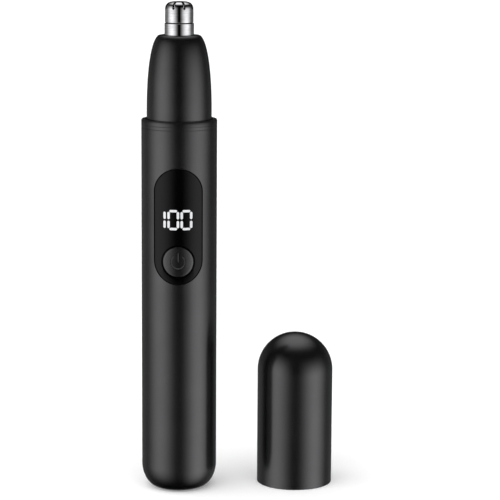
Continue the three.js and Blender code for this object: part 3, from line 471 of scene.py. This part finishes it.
# Glass-filled nylon, grey: the chassis, with a faint fibre mottle.
glass_filled_nylon = surface(
    "glass_filled_nylon", "#84878b", "#94979b", (0.48, 0.6), grain_mm=0.3, bump_mm=0.006,
    stretch=(1, 1, 4), IOR=1.53)

# Acetal, white and waxy: coupling, collar and hub.
white_acetal = surface(
    "white_acetal", "#deded9", "#ebebe7", (0.34, 0.42), grain_mm=0.6, bump_mm=0.002, IOR=1.48)

# Nitrile rubber: dull black with a slight bloom.
nitrile_rubber = surface(
    "nitrile_rubber", "#0b0b0b", "#121212", (0.62, 0.78), grain_mm=0.2, bump_mm=0.006, IOR=1.52)

# Glass-epoxy board under green solder mask: the weave shows as a faint ripple.
solder_mask = surface(
    "green_solder_mask_board", "#1a4f33", "#236644", (0.28, 0.38), grain_mm=0.5, bump_mm=0.004, IOR=1.55)

# PVC shrink sleeve on the cell: smooth blue with a soft shine.
shrink_sleeve = surface(
    "blue_PVC_shrink_sleeve", "#244683", "#2f5596", (0.3, 0.4), grain_mm=1.2, bump_mm=0.006, IOR=1.53)

# PVC wire insulation, red and black.
red_insulation = surface(
    "red_PVC_insulation", "#a01f1a", "#b92a22", (0.36, 0.46), grain_mm=0.3, bump_mm=0.003, IOR=1.53)
black_insulation = surface(
    "black_PVC_insulation", "#141415", "#1c1c1d", (0.36, 0.46), grain_mm=0.3, bump_mm=0.003, IOR=1.53)

# Sintered ferrite magnets: charcoal and slightly rough.
sintered_ferrite = surface(
    "sintered_ferrite", "#3b3b3e", "#4a4a4d", (0.5, 0.62), grain_mm=0.2, bump_mm=0.004, IOR=2.2)

# ------------------------------------------------------------ handle

def handle_skin():
    """The drawn tube with its round base, two hairlines under the rim and the openings in its wall."""
    inner_r = handle_r - handle_wall
    hairline_depths, hairline_half, hairline_floor, hairline_deep = (2.3, 1.35), 0.09, 0.03, 0.05
    chamfer_height, rim_inset, rim_round = 0.31, 0.2, 0.06
    lip_round, lip_drop = 0.12, 0.04
    bezel_room = 0.2
    outside = [(base_flat_r + (handle_r - base_flat_r) * math.sin(a), base_round * (1 - math.cos(a)))
               for a in quarter(20)]
    inside = [(base_flat_r - handle_wall / 2 + (inner_r - base_flat_r + handle_wall / 2) * math.sin(a),
               base_thickness + (base_round - handle_wall) * (1 - math.cos(a))) for a in quarter(12)]
    hairlines = []
    for depth in hairline_depths:
        z = handle_top - depth
        hairlines += [(handle_r, z - hairline_half), (handle_r - hairline_deep, z - hairline_floor),
                      (handle_r - hairline_deep, z + hairline_floor), (handle_r, z + hairline_half)]
    rim = [(handle_r, handle_top - chamfer_height)]
    rim += arc((handle_r - rim_inset, handle_top - rim_round), rim_round, 30, 90, 4)
    lip = arc((inner_r + lip_round, handle_top - lip_drop), lip_round, 90, 180, 5)
    made = turned("handle_tube",
                  [(0, 0)] + outside + hairlines + rim + lip + inside[::-1] + [(0, base_thickness)])
    port = pill(2 * bezel_half + bezel_room, bezel_high - bezel_low + bezel_room, (0, port_z))
    carve(made, from_front(window_outline(0)), from_back(port))
    return soften_edges(made, 0.05)


def window_outline(gap):
    """The outline of the window's opening, set in by a gap all round."""
    middle = (window_low + window_high) / 2
    return pill(2 * (window_half - gap), window_high - window_low - 2 * gap, (0, middle), 48)


def bar_outlines(room=0.0):
    """The lit bars of the three digits, with pointed ends, grown by some room all round."""
    height, width, pitch, thick, gap = 4.94, 2.57, 3.62, 0.66, 0.12
    middle, before_zeros = 0.48, 1.1
    zeros = (middle - pitch / 2, middle + pitch / 2)
    one = zeros[0] - width / 2 - before_zeros
    half, blunt, rounding = thick / 2, 0.1, 0.16

    def bar(x, z, length, upright):
        """One bar, with its middle at x, z."""
        tip = length / 2
        corners = [(-half, -tip + half), (-blunt, -tip + blunt), (blunt, -tip + blunt),
                   (half, -tip + half), (half, tip - half), (blunt, tip - blunt), (-blunt, tip - blunt),
                   (-half, tip - half)]
        corners = [(u * (1 + room / half), v * (1 + room / tip)) for u, v in corners]
        if not upright:
            corners = [(v, -u) for u, v in corners]
        return softened([(x + u, z + v) for u, v in corners], rounding, 2)

    bars = []
    for x in (one, *(zero + side * width / 2 for zero in zeros for side in (-1, 1))):
        for side in (-1, 1):
            bars.append(bar(x, digits_z + side * height / 4, height / 2 - 2 * gap, True))
    for zero in zeros:
        for side in (-1, 1):
            bars.append(bar(zero, digits_z + side * height / 2, width - 2 * gap, False))
    return bars


def lit_bars():
    """The bars of light, flush with the pane's curved face."""
    bars = []
    for outline in bar_outlines():
        flush = round_bar("tool", handle_r - window_inset, pane_bottom, pane_top)
        bars.append(carve(from_front(outline, bars_back, "bar"), flush, operation="INTERSECT"))
    return join("lit_bars", *bars)


def window_pane():
    """The dark pane, bent to the handle's curve, with a round hole for the button."""
    slot_room = 0.03
    hole = 2 * (button_r + button_gap)
    made = square_ring("window_pane", handle_r - handle_wall, handle_r - window_inset, pane_bottom - PAST,
                       pane_top + PAST)
    carve(made, from_front(window_outline(window_gap)), operation="INTERSECT")
    carve(made, *(from_front(bar, bar_slots_back) for bar in bar_outlines(slot_room)))
    carve(made, from_front(pill(hole, hole, (0, button_z), 48)))
    return soften_edges(made, 0.05)


def window_gasket():
    """The thin rubber seal between the pane and the handle, a little below both."""
    depth, width, slack = 0.7, 0.5, 0.01
    made = square_ring("window_gasket", handle_r - depth - width, handle_r - depth, pane_bottom - PAST,
                       pane_top + PAST)
    carve(made, from_front(window_outline(slack)), operation="INTERSECT")
    return carve(made, from_front(window_outline(window_gap - slack)))


def button_cap():
    """The round button: a face on the handle's curve, an engraved on-off sign and a hidden flange."""
    flange_thick, flange_slack = 0.6, 0.1
    outer = handle_r - window_inset
    # (radius, how far below the handle's curve), from the middle to the rounded edge
    face = [(k * 0.4, 0.0) for k in range(10)]
    face += [(button_r - 0.2, 0.0), (button_r - 0.1, 0.03), (button_r - 0.03, 0.1), (button_r, 0.2)]
    rings = [(radius, lambda x, dip=dip: -(math.sqrt(outer ** 2 - x ** 2) - dip)) for radius, dip in face]
    front = -(math.sqrt((handle_r - handle_wall) ** 2 - flange_r ** 2) - flange_slack)
    back = front + flange_thick
    rings += [(radius, lambda x, y=y: y)
              for radius, y in ((button_r, front), (flange_r, front), (flange_r, back), (0.0, back))]
    made = turned("power_button_cap", rings, FINE, lambda x, z, depth: (x, depth(x), button_z + z))

    sign_r, opening = 1.86, 38  # the sign's ring, and half of the gap at its top in degrees
    stem_length, stem_x, stem_rise = 2.3, 0.05, 1.25
    groove_width, line_width = 0.7, 0.36
    groove_depth, ink_bottom, ink_top = 0.2, 0.22, 0.06

    def strokes(name, width):
        """The sign's ring and stem, as tools of some width."""
        ring = (arc((0, button_z), sign_r + width / 2, 90 + opening, 450 - opening, 40)
                + arc((0, button_z), sign_r - width / 2, 450 - opening, 90 + opening, 40))
        stem = pill(width, stem_length + width, (stem_x, button_z + stem_rise), 6)
        return [from_front(outline, -button_r, name) for outline in (ring, stem)]

    def below(name, depth):
        """A round bar that reaches up to a depth below the button's face."""
        return round_bar(name, outer - depth, pane_bottom, pane_top)

    for tool in strokes("tool", groove_width):
        carve(tool, below("inside", groove_depth))
        carve(made, tool)
    fills = []
    for fill in strokes("fill", line_width):
        carve(fill, below("inside", ink_bottom))
        fills.append(carve(fill, below("outside", ink_top), operation="INTERSECT"))
    return made, join("power_sign", *fills)


place(handle_skin(), "handle", "anodised_black", black_anodised_aluminium, "handle_shell")
place(window_pane(), "handle", "window_gloss", smoked_acrylic, "display_window")
place(window_gasket(), "handle", "black_rubber", nitrile_rubber)
place(lit_bars(), "handle", "lit_bars", lit_polycarbonate, "light_guide")
button_face, sign_fill = button_cap()
place(button_face, "button", "button_anodised", black_anodised_aluminium, "power_button")
place(sign_fill, "button", "button_anodised", matt_sign_ink)

# ------------------------------------------------------------ charging port

def port_bezel():
    """The bezel round the socket, flush with the tube and with a shallow pocket."""
    pocket_floor = handle_r - 1.4
    inset, edge_width, socket_room = 0.05, 1.0, 0.2
    width, height = 2 * bezel_half, bezel_high - bezel_low
    made = from_back(pill(width, height, (0, port_z), 32), bezel_back, "port_bezel_fine")
    carve(made, round_bar("tool", handle_r - inset, 0, handle_top), operation="INTERSECT")
    pocket = from_back(pill(width - edge_width, height - edge_width, (0, port_z), 32), pocket_floor)
    hole = from_back(pill(2 * socket_half + socket_room, socket_high - socket_low + socket_room,
                          (0, port_z), 32))
    carve(made, pocket, hole)
    return soften_edges(made, 0.1)


def socket_shell():
    """The socket's drawn metal shell, open at its mouth."""
    wall = 0.3
    width, height = 2 * socket_half, socket_high - socket_low
    made = prism("usb_socket_fine", pill(width, height, (0, port_z), 20), socket_back, socket_mouth)
    carve(made, from_back(pill(width - 2 * wall, height - 2 * wall, (0, port_z), 20), socket_back + wall))
    return soften_edges(made, 0.06)


tongue_half_width, tongue_half_thick = 3.35, 0.35


def socket_tongue():
    """The tongue and the block that it stands on, at the back of the socket."""
    (left, back, low), (right, mouth, high) = extent("usb_tongue")
    root_depth, tongue_start = 1.9, 1.5
    root = pill(right - left, high - low, (0, port_z), 16)
    made = prism("usb_tongue_fine", root, back, back + root_depth)
    tongue = block("tongue", (-tongue_half_width, back + tongue_start, port_z - tongue_half_thick),
                   (tongue_half_width, mouth, port_z + tongue_half_thick))
    carve(made, tongue, operation="UNION")
    return soften_edges(made, 0.08)


def socket_contacts():
    """Six flat contacts on each face of the tongue."""
    _, (_, mouth, _) = extent("usb_tongue")
    count, pitch = 6, 0.95
    half_width, half_thick, start, end = 0.22, 0.02, 3.2, 0.35
    pads = []
    for side in (-1, 1):
        for k in range(count):
            x = (k - (count - 1) / 2) * pitch
            z = port_z + side * tongue_half_thick
            pads.append(block("pad", (x - half_width, mouth - start, z - half_thick),
                              (x + half_width, mouth - end, z + half_thick)))
    return join("usb_contacts", *pads)


place(port_bezel(), "handle", "dark_plastic", moulded_black_abs, "port_bezel")
place(socket_shell(), "handle", "plain_steel", nickel_plate, "usb_socket")
place(socket_tongue(), "handle", "dark_plastic", moulded_black_abs, "usb_tongue")
place(socket_contacts(), "handle", "brass_bush", gold_plate)

# ------------------------------------------------------------ neck, mount and coupling

def neck_collar():
    """The plain ring at the top of the handle, with a lead-in for the head's plug."""
    bore, lead_in = neck_r - neck_wall, 0.4
    profile = [(bore, neck_bottom), (neck_r, neck_bottom), (neck_r, neck_top), (bore + lead_in, neck_top),
               (bore, neck_top - lead_in)]
    return turned("neck_collar", softened(profile, 0.1))


def coupling():
    """The round coupling on the motor's shaft, slotted on top for the tang of the drive shaft."""
    chamfer, slot_half, slot_below_tang = 0.5, 0.75, 0.3
    shaft_bore, over_shaft = 0.8, 0.1
    profile = [(0, coupling_low, 0), (coupling_r, coupling_low), (coupling_r, coupling_high - chamfer),
               (coupling_r - chamfer, coupling_high), (0, coupling_high, 0)]
    made = turned("drive_coupling_fine", softened(profile, 0.1, closed=False), FINE)
    slot = block("tool", (-slot_half, -handle_r, tang_bottom - slot_below_tang),
                 (slot_half, handle_r, coupling_high + PAST))
    bore = round_bar("tool", shaft_bore, coupling_low - PAST, motor_shaft_top + over_shaft, SCREW)
    carve(made, slot, bore)
    return soften_edges(made, 0.08)


def mount_plate():
    """The motor's mount: a disc with recesses for the motor's boss and the seal, and two screw holes."""
    hole_r, boss_r, boss_deep, seal_r, seal_deep = 1.2, 2.2, 1.0, 2.3, 1.2
    screw_x, screw_hole, screw_recess, recess_deep = 4.5, 2.0, 3.4, 1.6
    low, high = mount_bottom - PAST, mount_top + PAST
    profile = [(0, mount_bottom, 0), (mount_r, mount_bottom), (mount_r, mount_top), (0, mount_top, 0)]
    made = turned("motor_mount_fine", softened(profile, 0.15, closed=False), ROUND)
    tools = [round_bar("tool", hole_r, low, high, SCREW),
             round_bar("tool", boss_r, low, mount_bottom + boss_deep, SCREW),
             round_bar("tool", seal_r, mount_top - seal_deep, high, SCREW)]
    for x in (-screw_x, screw_x):
        tools.append(prism("tool", pill(screw_hole, screw_hole, (x, 0)), low, high, "Z"))
        tools.append(prism("tool", pill(screw_recess, screw_recess, (x, 0)), mount_top - recess_deep, high,
                           "Z"))
    for tool in tools:
        carve(made, tool)
    return soften_edges(made, 0.08)


def seal_lip():
    """The shaft's rubber seal: a ring with a raised lip round its hole."""
    (_, _, low), (seal_r, _, high) = extent("shaft_seal")
    hole_r, lip_height, lip_foot, lip_width = 1.1, 0.3, 0.55, 0.3
    profile = [(hole_r, low), (seal_r, low), (seal_r, high - lip_height),
               (hole_r + lip_foot, high - lip_height), (hole_r + lip_width, high), (hole_r, high)]
    return turned("shaft_seal_fine", softened(profile, 0.08), FINE)


def motor_screw(node):
    """A round-headed screw with a cross recess."""
    (left, _, low), (right, _, high) = extent(node)
    x, screw_head_r = (left + right) / 2, (right - left) / 2
    shank_r, point_r, point = 0.75, 0.6, 0.2
    seat, side_round, top_round = high - 0.95, 0.3, 0.35
    long, wide, deep = 0.75, 0.17, 0.5
    profile = [(0, low), (point_r, low), (shank_r, low + point), (shank_r, seat), (screw_head_r, seat),
               (screw_head_r, high - side_round), (screw_head_r - top_round, high), (0, high)]
    made = turned(node + "_fine", softened(profile, 0.08, closed=False), SCREW)
    for half_x, half_y in ((long, wide), (wide, long)):
        carve(made, block("tool", (-half_x, -half_y, high - deep), (half_x, half_y, high + PAST)))
    return move(soften_edges(made, 0.04), x)


place(neck_collar(), "handle", "dark_plastic", moulded_black_abs, "neck_ring")
place(coupling(), "rotor", "white_plastic", white_acetal, "drive_coupling")
place(mount_plate(), "handle", "grey_plastic", glass_filled_nylon, "motor_mount")
place(seal_lip(), "handle", "black_rubber", nitrile_rubber, "shaft_seal")
for screw_node in ("motor_screw_1", "motor_screw_2"):
    place(motor_screw(screw_node), "handle", "plain_steel", drawn_steel, screw_node)

# ------------------------------------------------------------ head

def head_curve(inset, top, steps):
    """The head's side from its base to its shoulder, set in by a wall."""
    shoulder_r, fullness = sleeve_r + 1.25, 2.55
    reach = head_r - shoulder_r
    shares = [math.sin(a) for a in quarter(steps)]
    return [(shoulder_r + reach * math.sqrt(max(0.0, 1 - share ** fullness)) - inset,
             head_rim_z + share * (top - head_rim_z)) for share in shares]


def head_skin():
    """The head's cover, which bulges from the handle's rim to the flat round the sleeve."""
    hole, lip_round, chamfer = sleeve_r + 0.12, 0.15, 0.1
    lip = arc((hole + lip_round, head_top - lip_round), lip_round, 90, 180, 4)
    base = [(head_r - head_wall, head_bottom), (head_r - chamfer, head_bottom),
            (head_r, head_bottom + chamfer)]
    outside = head_curve(0, head_top, 48)
    inside = head_curve(head_wall, head_top - head_wall, 24)[::-1]
    return turned("head_cover", base + outside + lip + [(hole, head_top - head_wall)] + inside)


def plug():
    """The head's plug with the groove for its O-ring and the web that holds the lower bush."""
    middle = (plug_bottom + head_bottom) / 2
    ring_proud, ring_thick, groove_half = 0.15, 0.9, 0.6
    groove_r = plug_r + ring_proud - ring_thick - clearance
    groove_low, groove_high = middle - groove_half, middle + groove_half
    lead_in, web_low = 0.3, coupling_high + 1.0
    bore, bush_hole = plug_r - plug_wall, 1.9 + clearance
    profile = [(bore, plug_bottom), (plug_r - lead_in, plug_bottom), (plug_r, plug_bottom + lead_in),
               (plug_r, groove_low), (groove_r, groove_low), (groove_r, groove_high), (plug_r, groove_high),
               (plug_r, plug_top), (bush_hole, plug_top), (bush_hole, web_low), (bore, web_low)]
    return turned("head_plug_fine", softened(profile, 0.08))


def o_ring():
    """The round rubber ring in the plug's groove."""
    section_r, middle = 0.45, (ring_high + ring_low) / 2
    return turned("head_o_ring_fine", arc((ring_r - section_r, middle), section_r, 0, 360, 20)[:-1])


def sleeve():
    """The polished sleeve round the guard, with a flange that sits under the head's cover."""
    (_, _, low), (sleeve_flange_r, _, _) = extent("cutter_sleeve")
    bore = sleeve_r - sleeve_wall
    under_head = 0.3
    flange_top = head_top - head_wall - under_head
    inner_edge, foot, top_edge = 0.05, 0.03, 0.16
    profile = [(bore, low), (sleeve_flange_r, low), (sleeve_flange_r, flange_top),
               (sleeve_r, flange_top, foot), (sleeve_r, sleeve_top, top_edge),
               (bore, sleeve_top, inner_edge)]
    return turned("cutter_sleeve_fine", softened(profile, 0.07, 5))


def guard():
    """The slotted guard: a thin cup with a round edge, a faint dome and slots over its shoulder."""
    wall, edge, crown, chamfer = 0.5, 1.9, math.radians(8), 0.16
    joint_r = guard_r - edge + edge * math.sin(crown)  # where the round edge meets the dome
    sag = math.tan(crown) / (2 * joint_r)
    edge_z = guard_top - sag * joint_r ** 2 - edge * math.cos(crown)
    bore, skirt = guard_r - wall, sleeve_r - sleeve_wall - clearance
    shoulder = sleeve_top + 0.1
    dome = [(joint_r * share, guard_top - sag * (joint_r * share) ** 2)
            for share in (0.85, 0.7, 0.5, 0.3, 0.15)]
    outside = arc((guard_r - edge, edge_z), edge, 0, 90 - math.degrees(crown), 20) + dome
    inside = arc((guard_r - edge, edge_z), edge - wall, 90, 0, 14)
    rows = 12  # level rows of corners keep the shading of the slotted side even
    side = [(guard_r, shoulder + chamfer + (edge_z - shoulder - chamfer) * k / rows)
            for k in range(1, rows)]
    made = turned("outer_cutter_fine", (
        [(bore, guard_bottom), (skirt, guard_bottom), (skirt, shoulder), (guard_r - chamfer, shoulder),
         (guard_r, shoulder + chamfer)]
        + side + outside + [(0, guard_top), (0, edge_z + edge - wall)] + inside))

    slots, slot_width, slot_depth, tool_height, slot_start = 8, 0.7, 2.2, 8.0, 1.15
    outline = pill(slot_width, tool_height, (0, guard_top - slot_depth + tool_height / 2), 10)
    for k in range(slots):
        angle = math.pi / slots + 2 * math.pi * k / slots
        carve(made, spin(prism("tool", outline, slot_start, 2 * guard_r), angle - math.pi / 2))
    soften_edges(made, 0.05, 2, 35)

    skin = 0.04  # a face that lies deeper than this is inside or in a slot, and gets the near-black steel of painted shade
    for face in made.data.polygons:
        reach, level = math.hypot(face.center.x, face.center.y) / MM, face.center.z / MM
        if reach < joint_r:
            depth = guard_top - sag * reach ** 2 - level
        else:
            depth = edge - math.hypot(max(level - edge_z, 0), reach - (guard_r - edge))
        face.material_index = 1 if depth > skin else 0
    return made


def blades():
    """The cutter inside the guard: four upright blades on a plate, joined by a bridge over the shaft."""
    (_, _, low), (blade_r, _, high) = extent("inner_cutter")
    bore, bridge_wall, bridge_low = 1.2, 0.6, drive_shaft_top + 0.8
    count, blade_half, blade_foot, plate, round_edge = 4, 0.175, 0.2, 0.5, 1.4
    made = round_bar("inner_cutter_fine", blade_r, low, low + plate)
    carve(made, round_bar("bridge", bore + bridge_wall, bridge_low, high + PAST, FINE), operation="UNION")
    for k in range(count):
        blade = block("blade", (bore, -blade_half, low + blade_foot),
                      (blade_r + PAST, blade_half, high + PAST))
        carve(made, spin(blade, k * math.pi / 2), operation="UNION")
    dome = arc((blade_r - round_edge, high - round_edge), round_edge, 0, 90, 12)
    carve(made, turned("envelope", [(0, low), (blade_r, low)] + dome + [(0, high)]), operation="INTERSECT")
    carve(made, round_bar("bore", bore, low - PAST, bridge_low, FINE))
    return soften_edges(made, 0.03)


def spring():
    """The spring under the cutter: round wire, wound flat at both ends."""
    (_, _, low), (spring_r, _, high) = extent("cutter_spring")
    wire_r, flat_turns, open_turns = 0.2, 0.75, 3.0
    flat_rise = flat_turns * 2.04 * wire_r  # a flat coil rises by a little more than the wire
    turns = 2 * flat_turns + open_turns
    open_rise = high - low - 2 * wire_r - 2 * flat_rise
    coil_r = spring_r - wire_r
    steps, sides = 108, 12
    points, faces = [], []
    for k in range(steps + 1):
        turn = turns * k / steps
        bottom = min(turn, flat_turns) / flat_turns * flat_rise
        middle = min(max(turn - flat_turns, 0), open_turns) / open_turns * open_rise
        top = max(turn - flat_turns - open_turns, 0) / flat_turns * flat_rise
        around = 2 * math.pi * turn
        for j in range(sides):
            angle = 2 * math.pi * j / sides
            reach = coil_r + wire_r * math.cos(angle)
            points.append((reach * math.cos(around), reach * math.sin(around),
                           low + wire_r + bottom + middle + top + wire_r * math.sin(angle)))
    for k in range(steps):
        for j in range(sides):
            a, b = k * sides + j, k * sides + (j + 1) % sides
            faces.append((a, b, b + sides, a + sides))
    faces.append(tuple(range(sides)))
    faces.append(tuple(reversed(range(steps * sides, (steps + 1) * sides))))
    return piece("cutter_spring_fine", points, faces)


place(head_skin(), "head", "head_black", satin_black_lacquer, "head_shell")
place(plug(), "head", "dark_plastic", moulded_black_abs, "head_plug")
place(o_ring(), "head", "black_rubber", nitrile_rubber, "head_o_ring")
place(sleeve(), "head", "polished_steel", polished_stainless, "cutter_sleeve")
# The guard's hollow and slot walls take the second finish, near-black steel that paints their shade.
place(guard(), "head", "polished_steel", [polished_stainless, pickled_steel], "outer_cutter")
place(blades(), "cutter", "polished_steel", polished_stainless, "inner_cutter")

cutter_spring = place(spring(), "cutter_drive", "plain_steel", drawn_steel, "cutter_spring")
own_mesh(cutter_spring)

# ------------------------------------------------------------ cap

def cap_skin():
    """The thin metal dome, rounded at its rim, open underneath."""
    inner, dome_z = cap_r - cap_wall, cap_top - cap_r
    rim = [(inner, 0.1), (inner + 0.1, 0), (cap_r - 0.15, 0), (cap_r - 0.04, 0.04), (cap_r, 0.15)]
    outside = arc((0, dome_z), cap_r, 0, 90, 40)
    inside = arc((0, dome_z), inner, 90, 0, 28)
    made = turned("cap_cover", rim + outside[:-1] + [(0, cap_top), (0, cap_top - cap_wall)] + inside[1:])
    return move(made, cap_x, cap_y)


def cap_sleeve():
    """The plastic sleeve inside the cap, with four small ribs that grip the head."""
    outer, wall = liner_right - cap_x, 0.4
    ribs, rib_half, rib_proud, rib_root, rib_low, rib_high = 4, 0.4, 0.1, 0.2, 2, 8
    bore = outer - wall
    profile = [(bore, liner_bottom), (outer, liner_bottom), (outer, liner_top), (bore, liner_top)]
    made = turned("cap_liner_fine", softened(profile, 0.1))
    for k in range(ribs):
        rib = block("tool", (bore - rib_proud, -rib_half, rib_low), (bore + rib_root, rib_half, rib_high))
        carve(made, spin(rib, math.pi / 4 + k * math.pi / 2), operation="UNION")
    return move(made, cap_x, cap_y)


place(cap_skin(), "cap", "anodised_black", black_anodised_aluminium, "cap_shell")
place(cap_sleeve(), "cap", "dark_plastic", moulded_black_abs, "cap_liner")

# ------------------------------------------------------------ finishes of the carried pieces

inner_finish = {
    moulded_black_abs: ["window_carrier", "tact_switch", "bearing_plate"],
    glass_filled_nylon: ["inner_chassis"],
    white_acetal: ["switch_plunger", "display_module", "motor_end_cap", "spring_collar", "cutter_hub"],
    solder_mask: ["main_board", "charge_board"],
    shrink_sleeve: ["battery_cell"],
    nitrile_rubber: ["battery_pad"],
    red_insulation: ["battery_lead_plus", "charge_lead", "motor_lead_plus"],
    black_insulation: ["battery_lead_minus", "motor_lead_minus"],
    sintered_ferrite: ["motor_magnet_1", "motor_magnet_2"],
    sintered_bronze: ["motor_front_bushing", "motor_rear_bushing", "lower_bush", "upper_bush"],
    enamelled_copper: ["armature_windings", "commutator", "motor_brush_1", "motor_brush_2"],
    drawn_steel: [
        "board_screw_1", "board_screw_2", "charge_board_screw_1", "charge_board_screw_2",
        "battery_tab_minus", "battery_tab_plus", "motor_can", "motor_shaft", "armature_core",
        "drive_shaft"],
}
for material, names in inner_finish.items():
    for name in names:
        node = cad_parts[name]
        if not node.material_slots:
            node.data.materials.append(material)
        for slot in node.material_slots:
            slot.material = material

# ------------------------------------------------------------ camera, floor and light

def place_camera():
    """A 150 mm lens, slightly above the trimmer and a little to its right."""
    pitch, yaw, roll = math.radians(9.903), math.radians(0.237), math.radians(0.353)
    stand = Vector((17.40, -573.24, 167.85)) * MM
    forward = Vector((math.sin(yaw) * math.cos(pitch), math.cos(yaw) * math.cos(pitch), -math.sin(pitch)))
    level = Vector((math.cos(yaw), -math.sin(yaw), 0))
    upright = level.cross(forward)
    right = math.cos(roll) * level + math.sin(roll) * upright
    up = math.cos(roll) * upright - math.sin(roll) * level
    camera = bpy.data.objects.new("camera", bpy.data.cameras.new("camera"))
    camera.data.lens = 150
    camera.data.sensor_width = 36
    camera.data.clip_end = 20
    turn = Matrix((right, up, -forward)).transposed().to_4x4()
    camera.matrix_world = Matrix.Translation(stand) @ turn
    bpy.context.scene.collection.objects.link(camera)
    bpy.context.scene.camera = camera


def lay_floor():
    """A white floor that keeps soft shadows and is white wherever it isn't shaded."""
    half, top, bottom, glow_strength = 6000, -0.05, -1.0, 0.14
    floor = block("floor", (-half, -half, bottom), (half, half, top))
    material = bpy.data.materials.new("white_studio_floor")
    material.use_nodes = True
    tree = material.node_tree
    tree.nodes.clear()
    seen = add(tree, "ShaderNodeLightPath")
    matt = add(tree, "ShaderNodeBsdfDiffuse", {"Color": linear("#f2f2f2")})
    straight = seen.outputs["Is Camera Ray"]
    for ray in ("Is Glossy Ray", "Is Transmission Ray"):
        either = add(tree, "ShaderNodeMath", {0: straight, 1: seen.outputs[ray]}, operation="MAXIMUM")
        straight = either.outputs[0]
    level = add(tree, "ShaderNodeMath", {0: straight, 1: glow_strength}, operation="MULTIPLY")
    glow = add(tree, "ShaderNodeEmission", {"Color": linear("#ffffff"), "Strength": level.outputs[0]})
    both = add(tree, "ShaderNodeAddShader", {0: matt.outputs[0], 1: glow.outputs[0]})
    add(tree, "ShaderNodeOutputMaterial", {"Surface": both.outputs[0]})
    floor.data.materials.append(material)
    floor.visible_glossy = False


def light_studio():
    """A studio that looks plain white, lights matt surfaces from one side and gives metal its highlights.

    Reflections see two tall soft boxes, one overhead, a pale backdrop and a dim strip behind. Angles
    are in degrees: aside is how far a direction lies to the left or right of the front, height how
    far above the floor.
    """
    world = bpy.data.worlds.new("studio")
    bpy.context.scene.world = world
    world.use_nodes = True
    tree = world.node_tree
    tree.nodes.clear()

    def calc(operation, a, b=0.0):
        """One maths node."""
        return add(tree, "ShaderNodeMath", {0: a, 1: b}, operation=operation).outputs[0]

    def times(a, b):
        """The product of two values."""
        return calc("MULTIPLY", a, b)

    def plus(a, b):
        """The sum of two values."""
        return calc("ADD", a, b)

    def ease(value, start, end, low=0.0, high=1.0):
        """From low to high, softly, while the value goes from start to end."""
        made = add(tree, "ShaderNodeMapRange", {
            "Value": value, "From Min": start, "From Max": end, "To Min": low, "To Max": high},
            interpolation_type="SMOOTHSTEP")
        return made.outputs["Result"]

    def choose(when, otherwise, then):
        """One strength for the rays of a kind, another for the rest."""
        return add(tree, "ShaderNodeMix", {"Factor": when, "A": otherwise, "B": then},
                   data_type="FLOAT").outputs["Result"]

    direction = add(tree, "ShaderNodeTexCoord").outputs["Generated"]
    axes = add(tree, "ShaderNodeSeparateXYZ", {"Vector": direction})
    x, y, z = (axes.outputs[name] for name in "XYZ")
    degrees = 180 / math.pi
    front, slope = 1.0, 9.0  # where the boxes part, and how much lower they hang on the right
    bearing = times(calc("ARCTAN2", x, times(y, -1.0)), degrees)
    aside = calc("ABSOLUTE", calc("SUBTRACT", bearing, front))
    height = plus(times(calc("ARCSINE", z), degrees), times(x, slope))

    box_strength, right_stronger = 1.23, 0.09
    across = times(ease(aside, 4, 62), ease(aside, 66, 114, 1, 0))
    boxes = times(across, plus(times(x, right_stronger), box_strength))
    backdrop = times(ease(aside, 70, 112, 0.0, 0.13), ease(aside, 140, 158, 1.0, 0.3))
    far_strip = times(ease(aside, 158, 174, 0.0, 0.5), ease(height, -5, 3, 1, 0))
    walls = plus(plus(boxes, backdrop), far_strip)
    walls = times(walls, ease(height, -74, -10))
    walls = times(walls, ease(height, -10, 46, 1, 0))

    tilt = math.radians(20)  # the overhead box leans to the back
    along_box = plus(times(z, math.cos(tilt)), times(y, math.sin(tilt)))
    from_overhead = times(calc("ARCCOSINE", along_box), degrees)
    overhead = ease(from_overhead, 10, 48, 1.1, 0)
    bounce = times(ease(height, -14, -5, 0.06, 0), ease(height, -60, -20))
    seen_in_gloss = plus(plus(walls, overhead), bounce)

    key = Vector((-0.5, -0.85, 0.34)).normalized()
    towards_key = add(tree, "ShaderNodeVectorMath", {0: direction, 1: key}, operation="DOT_PRODUCT")
    on_matt = ease(towards_key.outputs["Value"], -0.35, 0.95, 0.3, 2.3)

    path = add(tree, "ShaderNodeLightPath")
    strength = choose(path.outputs["Is Glossy Ray"], choose(path.outputs["Is Diffuse Ray"], 1.0, on_matt),
                      seen_in_gloss)
    background = add(tree, "ShaderNodeBackground", {"Color": linear("#ffffff"), "Strength": strength})
    add(tree, "ShaderNodeOutputWorld", {"Surface": background.outputs[0]})


place_camera()
lay_floor()
light_studio()
bpy.context.scene.view_settings.view_transform = "Standard"
